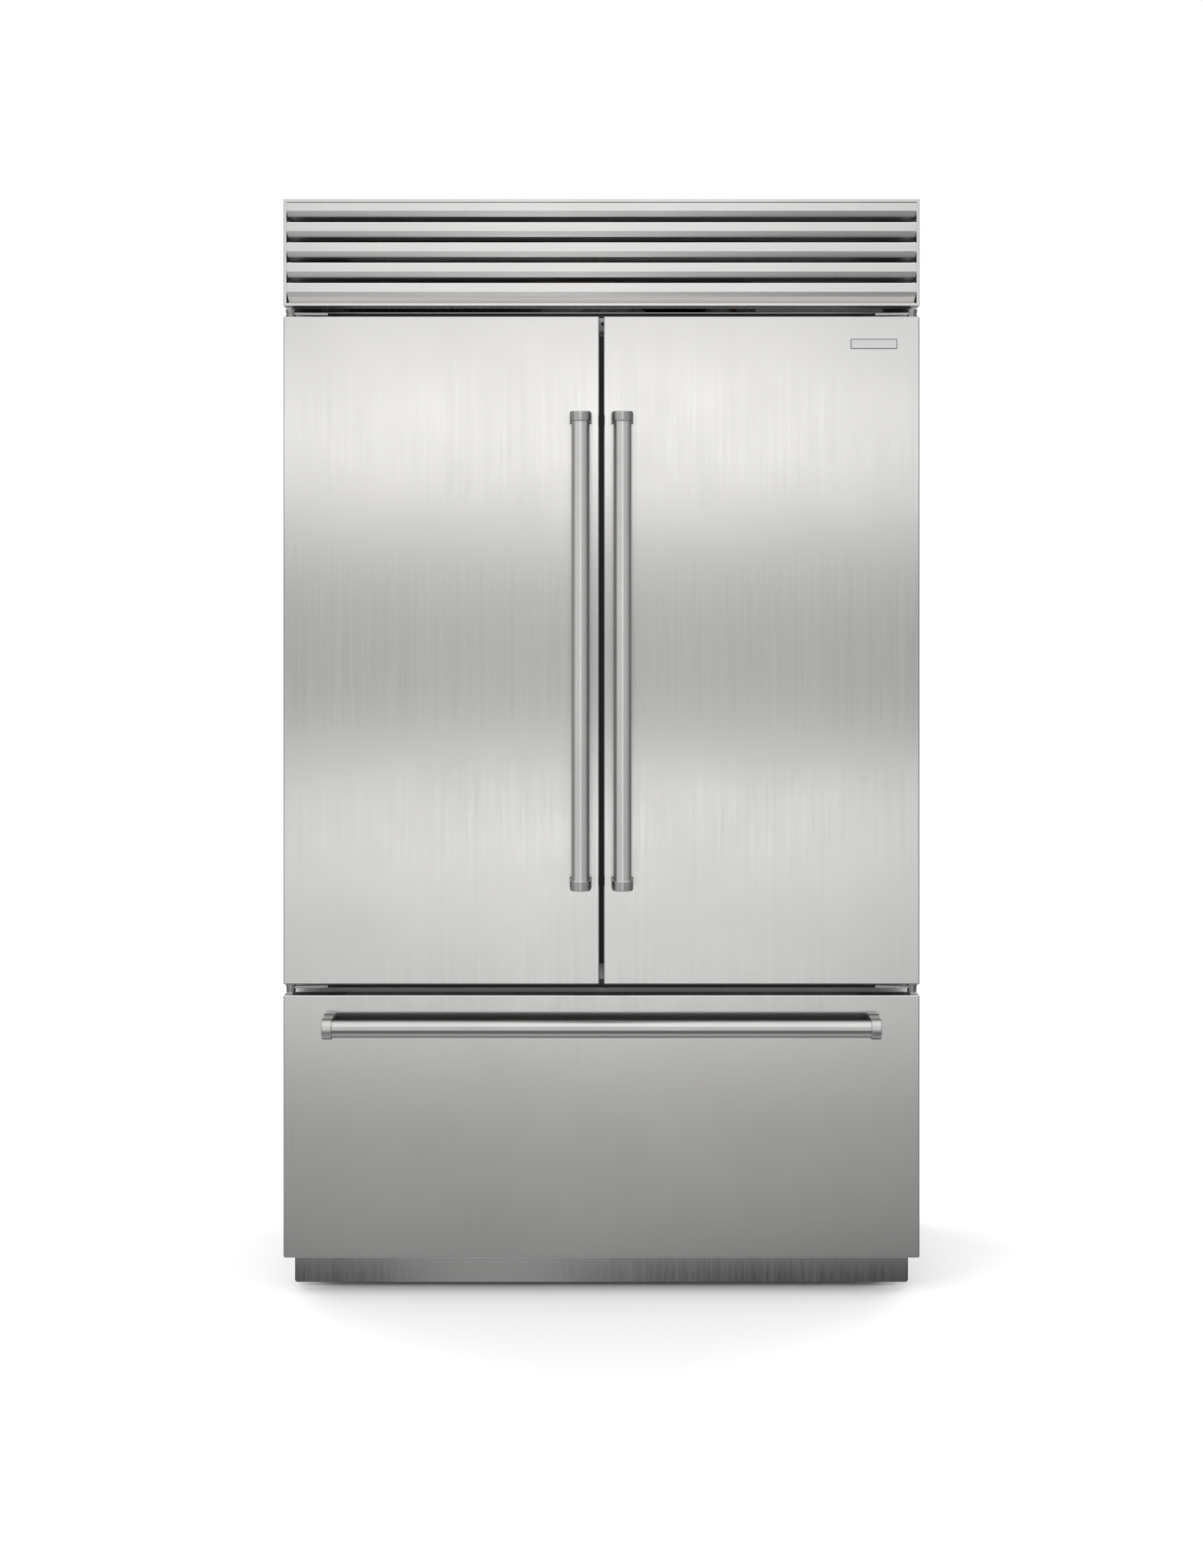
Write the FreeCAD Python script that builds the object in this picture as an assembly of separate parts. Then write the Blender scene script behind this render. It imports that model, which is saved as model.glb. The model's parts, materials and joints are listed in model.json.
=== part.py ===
import FreeCAD, Part
import math
import os

# Built-in french door refrigerator: two doors over one freezer drawer, a louvred grille over the
# machine compartment on top, and a recessed kickplate. Millimetres, +Z up, front faces -Y, +X right.
# The origin is the centre of the bottom of the bounding box. One file per piece goes into parts/.

Vec = FreeCAD.Vector

# ---- overall ---------------------------------------------------------------------------------
overall_width = 1219.0
overall_height = 2105.0
cabinet_depth = 610.0          # door face to cabinet back
handle_projection = 66.0       # door face to handle front

# ---- front, from the floor up ----------------------------------------------------------------
kick_height = 75.0
drawer_height = 503.5
door_drawer_gap = 20.3
door_grille_gap = 19.6
grille_height = 205.5
door_gap = 8.5                 # between the two doors

# ---- door and drawer fronts ------------------------------------------------------------------
skin_thickness = 1.2
skin_bend = 2.5                # outside bend radius of the skin
pan_depth = 40.0               # full-width steel pan
inner_depth = 32.0             # narrower foamed part behind the pan
inner_inset_side = 15.0
inner_inset_end = 12.0
inner_inset_free = 10.0        # at the edge beside the door gap
gasket_depth = 12.0
gasket_width = 14.0
gasket_clearance = 0.4         # gasket to cabinet face
bond_clearance = 0.1           # pieces that are glued or pressed together

# ---- cabinet ---------------------------------------------------------------------------------
cabinet_inset = 6.0            # cabinet side inboard of the door side
panel_thickness = 1.2
side_wall = 50.0
back_wall = 60.0
floor_wall = 50.0
ceiling_drop = 30.0            # door top to the compartment ceiling
divider_half = 38.0            # half the wall between the two compartments
base_drop = 5.0                # cabinet bottom below the drawer's bottom edge
deck_drop = 2.0                # machine deck below the grille's bottom edge

# ---- hinges ----------------------------------------------------------------------------------
hinge_inset = 13.0             # axis to door side
hinge_setback = 14.0           # axis to door face
hinge_pin_radius = 5.0
hinge_disc_radius = 10.0
hinge_arm_thickness = 4.2
hinge_collar = 3.2
hinge_arm_reach = 70.0
pin_depth = 26.0               # pin inside the door
running_clearance = 0.05       # radial, pin or shaft in its bore
moving_clearance = 0.6         # faces that pass each other

# ---- handles ---------------------------------------------------------------------------------
handle_bar_radius = 16.7
bracket_radius = 19.6
bracket_length = 19.0
bracket_round = 1.8
bracket_socket = 14.0
foot_flare = 1.4
foot_thickness = 2.0
handle_end_margin = 186.0      # door end to handle end
door_handle_inset = 35.7       # door's free edge to the bar's centre
drawer_handle_margin = 79.5    # drawer side to handle end
drawer_handle_drop = 56.5      # drawer top to the bar's centre

# ---- grille ----------------------------------------------------------------------------------
grille_frame_width = 5.6
grille_depth = 40.0
grille_bend = 1.2
louvre_count = 5
louvre_lip = 17.0
louvre_fall = 19.6
louvre_run = 14.0
louvre_sheet = 1.2
louvre_setback = 1.0
louvre_bevel = 1.8             # height of the lip's sloped top edge
louvre_taper = 4.0             # how far each blade end slants in at the rear
grille_axis_setback = 56.0     # pivot behind the door face
grille_axis_drop = 16.0        # pivot below the top
grille_pin_radius = 4.0
grille_lug_radius = 9.0
grille_lug_width = 14.0
grille_side_gap = 12.0         # frame's rear edge to the side panel behind it

# ---- interior --------------------------------------------------------------------------------
post_half = 32.0
post_depth = 25.0
liner_dyke_width = 30.0
liner_dyke_depth = 66.0
liner_dyke_free = 530.0        # hinge axis to the dyke beside the free edge
liner_dyke_hinge = 58.0        # hinge axis to the dyke beside the hinge
bin_wall = 3.0
bin_height = 118.0
bin_depth = 104.0
bin_count = 3
bin_lift = 72.0                # lowest bin above the door's lower edge
shelf_levels = 3
shelf_setback = 120.0          # compartment front to shelf front
shelf_frame_height = 14.0
glass_thickness = 5.0
shelf_rim = 14.0
duct_depth = 46.0
crisper_height = 178.0
crisper_setback = 166.0
crisper_wall = 3.0
basket_wall = 3.0
basket_height = 285.0
basket_lift = 18.0
tray_depth = 240.0
tray_height = 82.0
slide_half_height = 22.0
slide_sheet = 1.5
slide_stack = 12.0             # total thickness of a closed slide
slide_length = 390.0

# ---- machine compartment ---------------------------------------------------------------------
coil_tube_radius = 4.0
coil_fin_thickness = 0.6
coil_fin_pitch = 13.0
condenser_fan_radius = 82.0
evaporator_fan_radius = 48.0
fan_depth = 24.0
fan_hub_share = 0.28           # hub radius over fan radius
fan_shaft_radius = 4.0
compressor_radius = 74.0
compressor_height = 158.0
service_recess = 42.0          # rear bulkhead in front of the cabinet back
inlet_radius = 6.35
inlet_relief = 6.0             # undercut between the bulkhead and the water stub
inlet_reach = 26.0             # length of the water stub
gland_bore_radius = 5.0
fixing_hole_radius = 4.5
fixing_spacing = 900.0
fixing_setback = 70.0

# ---- base ------------------------------------------------------------------------------------
kick_recess = 75.0
kick_clearance = 8.0           # kickplate above the floor
kick_inset = 12.5
kick_corner = 5.6
kick_sheet = 1.5
leg_pad_radius = 20.0
leg_pad_height = 9.0
leg_stem_radius = 6.0
leg_inset = 90.0
leg_setback = 150.0
roller_radius = 24.0
axle_radius = 6.0
roller_width = 26.0
roller_setback = 545.0
roller_inset = 90.0
chassis_height = 40.0
chassis_width = 40.0

# ---- places that follow from the sizes -------------------------------------------------------
half_width = overall_width / 2
face_y = (handle_projection - cabinet_depth) / 2
back_y = face_y + cabinet_depth
pan_back_y = face_y + pan_depth
inner_back_y = pan_back_y + inner_depth
cabinet_y = inner_back_y + gasket_depth
drawer_top = kick_height + drawer_height
door_bottom = drawer_top + door_drawer_gap
grille_bottom = overall_height - grille_height
door_top = grille_bottom - door_grille_gap
door_height = door_top - door_bottom
divider_z = (drawer_top + door_bottom) / 2
cabinet_half = half_width - cabinet_inset
cavity_half = cabinet_half - side_wall
cavity_back_y = back_y - back_wall
fridge_floor = divider_z + divider_half
fridge_ceiling = door_top - ceiling_drop
freezer_floor = kick_height + floor_wall
freezer_ceiling = divider_z - divider_half
cabinet_bottom = kick_height - base_drop
deck_z = grille_bottom - deck_drop
hinge_x = half_width - hinge_inset
hinge_y = face_y + hinge_setback
bulkhead_y = back_y - service_recess
bar_y = face_y - handle_projection + bracket_radius
duct_y = cavity_back_y - duct_depth
slide_back_y = cabinet_y + slide_length
basket_half = cavity_half - slide_stack


# ---- plain shapes ----------------------------------------------------------------------------
def block(x, y, z):
    """Box from three (low, high) pairs."""
    return Part.makeBox(x[1] - x[0], y[1] - y[0], z[1] - z[0], Vec(x[0], y[0], z[0]))


def rod(radius, start, end):
    """Cylinder between two points."""
    axis = Vec(*end) - Vec(*start)
    return Part.makeCylinder(radius, axis.Length, Vec(*start), axis)


def prism(points, along):
    """Closed outline swept straight along a vector."""
    corners = [Vec(*point) for point in points]
    outline = Part.makePolygon(corners + corners[:1])
    return Part.Face(outline).extrude(Vec(*along))


def joined(shapes):
    """One solid from shapes that touch or overlap."""
    whole = shapes[0].multiFuse(shapes[1:])
    return whole.removeSplitter()


def both_sides(shape):
    """A shape on the right and its mirror on the left."""
    return [shape, shape.mirror(Vec(0, 0, 0), Vec(1, 0, 0))]


def tray(x, y, z, wall):
    """Box with a floor and four walls, open at the top."""
    outer = block(x, y, z)
    hollow = block((x[0] + wall, x[1] - wall), (y[0] + wall, y[1] - wall), (z[0] + wall, z[1] + wall))
    return outer.cut(hollow)


def soft_block(x, y, z, radius):
    """Box with round edges everywhere except around its rear face."""
    plain = block(x, y, z)
    edges = [edge for edge in plain.Edges if edge.CenterOfMass.y < y[1] - radius / 2]
    return plain.makeFillet(radius, edges)


def save(name, shapes):
    """Write one piece, or a group of like pieces, to its own file."""
    whole = shapes if isinstance(shapes, Part.Shape) else Part.makeCompound(shapes)
    whole.exportStep("parts/" + name + ".step")


# ---- doors and drawer front ------------------------------------------------------------------
def front_skin(x, z):
    """Steel pan: a face and four returned sides."""
    outer = soft_block(x, (face_y, pan_back_y), z, skin_bend)
    inner_x = (x[0] + skin_thickness, x[1] - skin_thickness)
    inner_z = (z[0] + skin_thickness, z[1] - skin_thickness)
    inner_y = (face_y + skin_thickness, pan_back_y + skin_thickness)
    return outer.cut(soft_block(inner_x, inner_y, inner_z, skin_bend - skin_thickness))


def front_core(x, z, inner_x):
    """Foamed liner: fills the pan, then steps in to the narrower rear part."""
    inset = skin_thickness + bond_clearance
    filled = soft_block(
        (x[0] + inset, x[1] - inset),
        (face_y + inset, pan_back_y),
        (z[0] + inset, z[1] - inset),
        skin_bend - skin_thickness,
    )
    rear = block(inner_x, (pan_back_y, inner_back_y), (z[0] + inner_inset_end, z[1] - inner_inset_end))
    return joined([filled, rear])


def front_gasket(x, z):
    """Magnetic seal around the rear of a door or drawer front."""
    y = (inner_back_y, cabinet_y - gasket_clearance)
    outer = block(x, y, z)
    hollow = block(
        (x[0] + gasket_width, x[1] - gasket_width),
        (y[0] - 1, y[1] + 1),
        (z[0] + gasket_width, z[1] - gasket_width),
    )
    return outer.cut(hollow)


def hinge_bore(z, depth):
    """Space that a hinge pin turns in, from a door end inwards."""
    radius = hinge_pin_radius + running_clearance
    return rod(radius, (hinge_x, hinge_y, z), (hinge_x, hinge_y, z + depth))


def door_bins():
    """Open-topped bins between the dykes of the right door."""
    low_x = hinge_x - liner_dyke_free + liner_dyke_width + moving_clearance
    high_x = hinge_x - liner_dyke_hinge - liner_dyke_width - moving_clearance
    y = (inner_back_y + bond_clearance, inner_back_y + bin_depth)
    lowest = door_bottom + bin_lift
    pitch = (door_height - bin_lift - bin_height) / bin_count
    bins = []
    for index in range(bin_count):
        z = lowest + index * pitch
        bins.append(tray((low_x, high_x), y, (z, z + bin_height), bin_wall))
    return bins


def right_door():
    """Pieces of the right door, closed."""
    x = (door_gap / 2, half_width)
    z = (door_bottom, door_top)
    inner_x = (x[0] + inner_inset_free, x[1] - inner_inset_side)
    end_z = (z[0] + inner_inset_end, z[1] - inner_inset_end)
    bores = [hinge_bore(door_top + 1, -pin_depth - 3), hinge_bore(door_bottom - 1, pin_depth + 3)]

    dyke_y = (inner_back_y, inner_back_y + liner_dyke_depth)
    dyke_z = (z[0] + bin_lift, fridge_ceiling - ceiling_drop)
    free_x = hinge_x - liner_dyke_free
    near_x = hinge_x - liner_dyke_hinge - liner_dyke_width
    dykes = [block((low, low + liner_dyke_width), dyke_y, dyke_z) for low in (free_x, near_x)]
    liner = joined([front_core(x, z, inner_x)] + dykes)

    bar, brackets = handle(door_height - 2 * handle_end_margin)
    place = Vec(x[0] + door_handle_inset, 0, (z[0] + z[1]) / 2)
    for piece in [bar] + brackets:
        piece.translate(place)
    return {
        "skin": front_skin(x, z).cut(bores[0]).cut(bores[1]),
        "liner": liner.cut(bores[0]).cut(bores[1]),
        "gasket": front_gasket(inner_x, end_z),
        "handle_bar": bar,
        "handle_brackets": brackets,
        "bins": door_bins(),
    }


def badge_plate():
    """Blank plate with a bevelled edge and a shallow sunk panel, near the right door's top corner."""
    width, height, thickness, bevel, sunk = 89.0, 19.0, 2.6, 1.2, 0.6
    drop, inset = 53.0, 87.5
    x, z = half_width - inset, door_top - drop
    plate_x = (x - width / 2, x + width / 2)
    plate_z = (z - height / 2, z + height / 2)
    plate = block(plate_x, (face_y - thickness, face_y), plate_z)
    edges = [edge for edge in plate.Edges if edge.CenterOfMass.y < face_y - thickness + 0.01]
    rim = 4.0
    panel = block(
        (plate_x[0] + rim, plate_x[1] - rim),
        (face_y - thickness - 1, face_y - thickness + sunk),
        (plate_z[0] + rim, plate_z[1] - rim),
    )
    return plate.makeChamfer(bevel, edges).cut(panel)


def handle(length):
    """Upright tubular handle on the door face, centred on z = 0: the bar and its two end brackets."""
    half = length / 2
    socket_end = half - bracket_length + bracket_socket
    bar = rod(handle_bar_radius, (0, bar_y, -socket_end), (0, bar_y, socket_end))
    brackets = []
    for end in (-1, 1):
        low, high = sorted((end * half, end * (half - bracket_length)))
        nose = rod(bracket_radius, (0, bar_y, low), (0, bar_y, high))
        neck = block((-bracket_radius, bracket_radius), (bar_y, face_y - foot_thickness), (low, high))
        body = joined([nose, neck])
        rims = [
            edge
            for edge in body.Edges
            if abs(edge.CenterOfMass.z - low) < 0.01 or abs(edge.CenterOfMass.z - high) < 0.01
        ]
        rims = [edge for edge in rims if edge.CenterOfMass.y < face_y - foot_thickness - 0.01]
        body = body.makeFillet(bracket_round, rims)
        foot = block(
            (-bracket_radius - foot_flare, bracket_radius + foot_flare),
            (face_y - foot_thickness, face_y),
            (low - foot_flare, high + foot_flare),
        )
        socket_radius = handle_bar_radius + bond_clearance
        socket_z = end * (socket_end + bond_clearance)
        inside_z = end * (half - bracket_length - 1)
        socket = rod(socket_radius, (0, bar_y, inside_z), (0, bar_y, socket_z))
        brackets.append(joined([body, foot]).cut(socket))
    return bar, brackets


def drawer_front():
    """Pieces of the drawer front, closed."""
    x = (-half_width, half_width)
    z = (kick_height, drawer_top)
    inner_x = (x[0] + inner_inset_side, x[1] - inner_inset_side)
    end_z = (z[0] + inner_inset_end, z[1] - inner_inset_end)
    bar, brackets = handle(overall_width - 2 * drawer_handle_margin)
    for piece in [bar] + brackets:
        piece.rotate(Vec(0, 0, 0), Vec(0, 1, 0), 90)
        piece.translate(Vec(0, 0, drawer_top - drawer_handle_drop))
    return {
        "skin": front_skin(x, z),
        "liner": front_core(x, z, inner_x),
        "gasket": front_gasket(inner_x, end_z),
        "handle_bar": bar,
        "handle_brackets": brackets,
    }


# ---- freezer fittings ------------------------------------------------------------------------
basket_low = freezer_floor + basket_lift
basket_high = basket_low + basket_height
basket_back_y = slide_back_y - 4
slide_z = basket_low + basket_height * 0.55


def freezer_basket():
    """Deep open basket behind the drawer front, with hand slots in its rear wall."""
    x = (-basket_half, basket_half)
    basket = tray(x, (inner_back_y, basket_back_y), (basket_low, basket_high), basket_wall)
    slot_count, slot_width, slot_height, slot_drop = 9, 60.0, 14.0, 60.0
    pitch = 2 * basket_half / (slot_count + 1)
    for index in range(slot_count):
        centre = -basket_half + pitch * (index + 1)
        slot_y = (basket_back_y - 2 * basket_wall, basket_back_y + 1)
        slot_z = (basket_high - slot_drop, basket_high - slot_drop + slot_height)
        basket = basket.cut(block((centre - slot_width / 2, centre + slot_width / 2), slot_y, slot_z))
    return basket


def sliding_tray():
    """Half-depth tray that hangs in the basket and slides on its side walls."""
    gap = moving_clearance
    x = (-basket_half + basket_wall + gap, basket_half - basket_wall - gap)
    low_y = inner_back_y + basket_wall + gap
    y = (low_y, low_y + tray_depth)
    z = (basket_high - tray_height, basket_high + gap)
    body = tray(x, y, z, basket_wall)
    rim = block((-basket_half, basket_half), y, (basket_high + gap, basket_high + gap + basket_wall))
    hollow_x = (x[0] + basket_wall, x[1] - basket_wall)
    hollow_y = (y[0] + basket_wall, y[1] - basket_wall)
    hollow = block(hollow_x, hollow_y, (z[1] - 1, z[1] + 2 * basket_wall))
    return joined([body, rim.cut(hollow)])


def channel(depth, half_height, start_y, length):
    """C channel on the right wall: its web at the given depths, its flanges towards the next member."""
    web_low, web_high, flange_low, flange_high = depth
    y = (start_y, start_y + length)
    z = (slide_z - half_height, slide_z + half_height)
    web = block((cavity_half - web_high, cavity_half - web_low), y, z)
    flange_x = (cavity_half - flange_high, cavity_half - flange_low)
    top = block(flange_x, y, (z[1] - slide_sheet, z[1]))
    low = block(flange_x, y, (z[0], z[0] + slide_sheet))
    return joined([web, top, low])


def slide_members():
    """Three nested members of the two telescopic slides: cabinet, middle and drawer."""
    ball_gap = 2.5
    start_y = cabinet_y + 4
    length = slide_length - 8
    outer = channel((0, slide_sheet, 0, slide_stack - 1), slide_half_height, start_y, length)
    middle_half = slide_half_height - slide_sheet - ball_gap
    middle = channel((4, 4 + slide_sheet, 4, slide_stack - 0.5), middle_half, start_y, length)
    inner_half = middle_half - slide_sheet - ball_gap
    inner_depth_range = (slide_stack - slide_sheet, slide_stack, slide_stack - 5, slide_stack)
    inner = channel(inner_depth_range, inner_half, start_y, length)
    return both_sides(outer), both_sides(middle), both_sides(inner)


# ---- cabinet ---------------------------------------------------------------------------------
def side_panel():
    """Right outer side: full height behind the doors, reaching forward beside the grille."""
    front_y = face_y + grille_depth + grille_side_gap
    outline = [
        (cabinet_half - panel_thickness, cabinet_y, cabinet_bottom),
        (cabinet_half - panel_thickness, back_y, cabinet_bottom),
        (cabinet_half - panel_thickness, back_y, overall_height),
        (cabinet_half - panel_thickness, front_y, overall_height),
        (cabinet_half - panel_thickness, front_y, deck_z),
        (cabinet_half - panel_thickness, cabinet_y, deck_z),
    ]
    return prism(outline, (panel_thickness, 0, 0))


def inner_cabinet():
    """Foamed panels of the body: two sides, roof, divider, floor and back."""
    half = cabinet_half - panel_thickness
    y = (cabinet_y, cavity_back_y)
    z = (cabinet_bottom, deck_z - panel_thickness)
    cavity_x = (-cavity_half, cavity_half)
    left = block((-half, -cavity_half), y, z)
    right = block((cavity_half, half), y, z)
    roof = block(cavity_x, y, (fridge_ceiling, z[1]))
    divider = block(cavity_x, y, (freezer_ceiling, fridge_floor))
    floor = block(cavity_x, y, (z[0], freezer_floor))
    back = block((-half, half), (cavity_back_y, back_y - panel_thickness), z)
    return [left, right, roof, divider, floor, back]


def front_rails():
    """Steel rails across the cabinet front: one over the doors with a forward lip, one below them."""
    half = cabinet_half - panel_thickness
    rail_depth, lip_reach, lip_height = 1.4, 14.0, 3.6
    rail_y = (cabinet_y - rail_depth, cabinet_y)
    top_z = (door_top + 2, deck_z - panel_thickness)
    top_face = block((-half, half), rail_y, top_z)
    lip_z = (top_z[1] - lip_height, top_z[1])
    lip = block((-half, half), (cabinet_y - lip_reach, cabinet_y - rail_depth), lip_z)
    middle = block((-half, half), rail_y, (drawer_top + 2, door_bottom - 2))
    return [joined([top_face, lip]), middle]


def centre_post():
    """Upright sealing post behind the door gap, with a return along each side."""
    y = (cabinet_y, cabinet_y + post_depth)
    post = block((-post_half, post_half), y, (fridge_floor, fridge_ceiling))
    wall = 4.0
    hollow_x = (-post_half + wall, post_half - wall)
    hollow = block(hollow_x, (y[0] + wall, y[1] + 1), (fridge_floor - 1, fridge_ceiling + 1))
    return post.cut(hollow)


def post_guide():
    """Guide block at the top of the door gap, with a round bumper on its face."""
    half, height, reach = 8.0, 24.0, 34.0
    z = (door_top - height, door_top + 2)
    body = block((-half, half), (cabinet_y - reach, cabinet_y), z)
    bumper_z = door_top - 10
    bumper = rod(3.6, (0, cabinet_y - reach - 3, bumper_z), (0, cabinet_y - reach + 2, bumper_z))
    return joined([body, bumper])


def hinge_arm(z_low, z_high):
    """Plan of a hinge arm: a round nose about the pin, tapering inboard to the cabinet front."""
    nose = rod(hinge_disc_radius - 1, (hinge_x, hinge_y, z_low), (hinge_x, hinge_y, z_high))
    outline = [
        (hinge_x + 4, hinge_y - 7, z_low),
        (hinge_x - hinge_arm_reach, hinge_y + 2, z_low),
        (hinge_x - hinge_arm_reach - 40, cabinet_y - 1.4, z_low),
        (hinge_x + 4, cabinet_y - 1.4, z_low),
    ]
    return joined([nose, prism(outline, (0, 0, z_high - z_low))])


def hinges():
    """Upper and lower hinge brackets of both doors, each with its pin as a separate solid."""
    pieces = []
    collar_low = door_top + moving_clearance
    arm_low = collar_low + hinge_collar
    arm_high = arm_low + hinge_arm_thickness
    boss_high = door_top + door_grille_gap - 5
    upper = joined([
        rod(hinge_disc_radius, (hinge_x, hinge_y, collar_low), (hinge_x, hinge_y, arm_low)),
        hinge_arm(arm_low, arm_high),
        rod(hinge_disc_radius, (hinge_x, hinge_y, arm_high), (hinge_x, hinge_y, boss_high)),
    ])
    pin_low = door_top - pin_depth
    upper_hole = rod(hinge_pin_radius, (hinge_x, hinge_y, pin_low), (hinge_x, hinge_y, boss_high))
    pieces += [upper.cut(upper_hole), upper_hole]

    collar_high = door_bottom - moving_clearance
    low_arm_high = collar_high - hinge_collar
    low_arm_low = low_arm_high - hinge_arm_thickness
    boss_low = drawer_top + 5
    lower = joined([
        rod(hinge_disc_radius, (hinge_x, hinge_y, low_arm_high), (hinge_x, hinge_y, collar_high)),
        hinge_arm(low_arm_low, low_arm_high),
        rod(hinge_disc_radius - 1.2, (hinge_x, hinge_y, boss_low), (hinge_x, hinge_y, low_arm_low)),
    ])
    pin_high = door_bottom + pin_depth
    lower_hole = rod(hinge_pin_radius, (hinge_x, hinge_y, boss_low), (hinge_x, hinge_y, pin_high))
    pieces += [lower.cut(lower_hole), lower_hole]
    whole = []
    for piece in pieces:
        whole += both_sides(piece)
    return whole


def top_panel():
    """Cover over the machine compartment, with two fixing holes near its rear edge."""
    half = cabinet_half - panel_thickness
    front_y = face_y + grille_axis_setback + 26
    panel = block((-half, half), (front_y, bulkhead_y), (overall_height - panel_thickness, overall_height))
    for sign in (-1, 1):
        x, y = sign * fixing_spacing / 2, back_y - fixing_setback
        hole = rod(fixing_hole_radius, (x, y, overall_height - 5), (x, y, overall_height + 5))
        panel = panel.cut(hole)
    return panel


def machine_deck():
    """Floor of the machine compartment, bent up at the rear as a service bulkhead."""
    half = cabinet_half - panel_thickness
    floor = block((-half, half), (cabinet_y, back_y), (deck_z - panel_thickness, deck_z))
    bulkhead_z = (deck_z, overall_height - panel_thickness)
    bulkhead = block((-half, half), (bulkhead_y - panel_thickness, bulkhead_y), bulkhead_z)
    deck = joined([floor, bulkhead])
    for x, z, radius in (service_places["water"], service_places["power"]):
        deck = deck.cut(rod(radius, (x, bulkhead_y - 5, z), (x, bulkhead_y + 5, z)))
    return deck


def base_frame():
    """Chassis under the cabinet: a ring of channels, leg bosses in front, roller plates behind."""
    half = cabinet_half - 30
    y = (face_y + leg_setback - chassis_width / 2, back_y - 20)
    z = (cabinet_bottom - chassis_height, cabinet_bottom)
    ring = block((-half, half), y, z)
    hollow = block(
        (-half + chassis_width, half - chassis_width),
        (y[0] + chassis_width, y[1] - chassis_width),
        (z[0] - 1, z[1] + 1),
    )
    frame = ring.cut(hollow)
    for sign in (-1, 1):
        leg_x = sign * (half_width - leg_inset)
        leg_y = face_y + leg_setback
        hole_radius = leg_stem_radius + running_clearance
        frame = frame.cut(rod(hole_radius, (leg_x, leg_y, z[0] - 1), (leg_x, leg_y, z[1] + 1)))
        roller_x = sign * (half_width - roller_inset)
        well_half = roller_width / 2 + 4
        well_y = (face_y + roller_setback - roller_radius - 8, face_y + roller_setback + roller_radius + 8)
        frame = frame.cut(block((roller_x - well_half, roller_x + well_half), well_y, (z[0] - 1, z[1] + 1)))
    axle_y = face_y + roller_setback
    plates = []
    for sign in (-1, 1):
        for side in (-1, 1):
            plate_x = sign * (half_width - roller_inset) + side * (roller_width / 2 + 3)
            plate_z = (roller_radius - 12, cabinet_bottom)
            plates.append(block((plate_x - 1, plate_x + 1), (axle_y - 14, axle_y + 14), plate_z))
    axle_reach = half_width - roller_inset + roller_width / 2 + 10
    bearing_radius = axle_radius + running_clearance
    ends = [(side * axle_reach, axle_y, roller_radius) for side in (-1, 1)]
    bearing = rod(bearing_radius, ends[0], ends[1])
    return joined([frame] + plates).cut(bearing)


def levelling_leg():
    """Right front leg, wound fully in: a pad on the floor and a stem in the chassis boss."""
    x, y = half_width - leg_inset, face_y + leg_setback
    pad = rod(leg_pad_radius, (x, y, 0), (x, y, leg_pad_height))
    rim = [edge for edge in pad.Edges if edge.Closed and edge.CenterOfMass.z > leg_pad_height / 2]
    pad = pad.makeChamfer(2, rim)
    hexagon = [
        (x + 11 * math.cos(math.radians(60 * k)), y + 11 * math.sin(math.radians(60 * k)), leg_pad_height)
        for k in range(6)
    ]
    nut = prism(hexagon, (0, 0, 9))
    stem = rod(leg_stem_radius, (x, y, leg_pad_height), (x, y, cabinet_bottom - 2))
    return joined([pad, nut, stem])


def rear_rollers():
    """Two rollers on one common axle that turns in the chassis plates."""
    y, z = face_y + roller_setback, roller_radius
    reach = half_width - roller_inset + roller_width / 2 + 6
    parts = [rod(axle_radius, (-reach, y, z), (reach, y, z))]
    for sign in (-1, 1):
        x = sign * (half_width - roller_inset)
        parts.append(rod(roller_radius, (x - roller_width / 2, y, z), (x + roller_width / 2, y, z)))
    return joined(parts)


def kickplate():
    """Recessed plate under the drawer with round lower corners and a return along its top."""
    half = half_width - kick_inset
    y = face_y + kick_recess
    plate = block((-half, half), (y, y + kick_sheet), (kick_clearance, cabinet_bottom))
    corners = [
        edge
        for edge in plate.Edges
        if edge.CenterOfMass.z < kick_clearance + 1 and abs(abs(edge.CenterOfMass.x) - half) < 0.01
        and abs(edge.CenterOfMass.y - y - kick_sheet / 2) < 0.01
    ]
    plate = plate.makeFillet(kick_corner, corners)
    flange = block((-half, half), (y, cabinet_y + 8), (cabinet_bottom - kick_sheet, cabinet_bottom))
    return joined([plate, flange])


# ---- grille ----------------------------------------------------------------------------------
def grille_frame():
    """Thin rectangular frame with two rear lugs that carry the pivot."""
    x = (-half_width, half_width)
    z = (grille_bottom, overall_height)
    y = (face_y, face_y + grille_depth)
    ring = soft_block(x, y, z, grille_bend)
    w = grille_frame_width
    ring = ring.cut(block((x[0] + w, x[1] - w), (y[0] - 1, y[1] + 1), (z[0] + w, z[1] - w)))
    axis_y, axis_z = grille_axis()
    parts = [ring]
    for sign in (-1, 1):
        low_x, high_x = sorted((sign * (cabinet_half - 30), sign * (cabinet_half - 30 - grille_lug_width)))
        knuckle = rod(grille_lug_radius, (low_x, axis_y, axis_z), (high_x, axis_y, axis_z))
        arm_z = (axis_z - 4, overall_height - w)
        arm = block((low_x, high_x), (face_y + grille_depth - 12, axis_y), arm_z)
        parts.append(joined([knuckle, arm]))
    frame = joined(parts)
    bore_radius = grille_pin_radius + running_clearance
    bore = rod(bore_radius, (-half_width, axis_y, axis_z), (half_width, axis_y, axis_z))
    keep = block((-half_width, half_width), (axis_y - 6, axis_y + 6), (axis_z - 6, axis_z + 6))
    return frame.cut(bore.common(keep))


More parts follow.
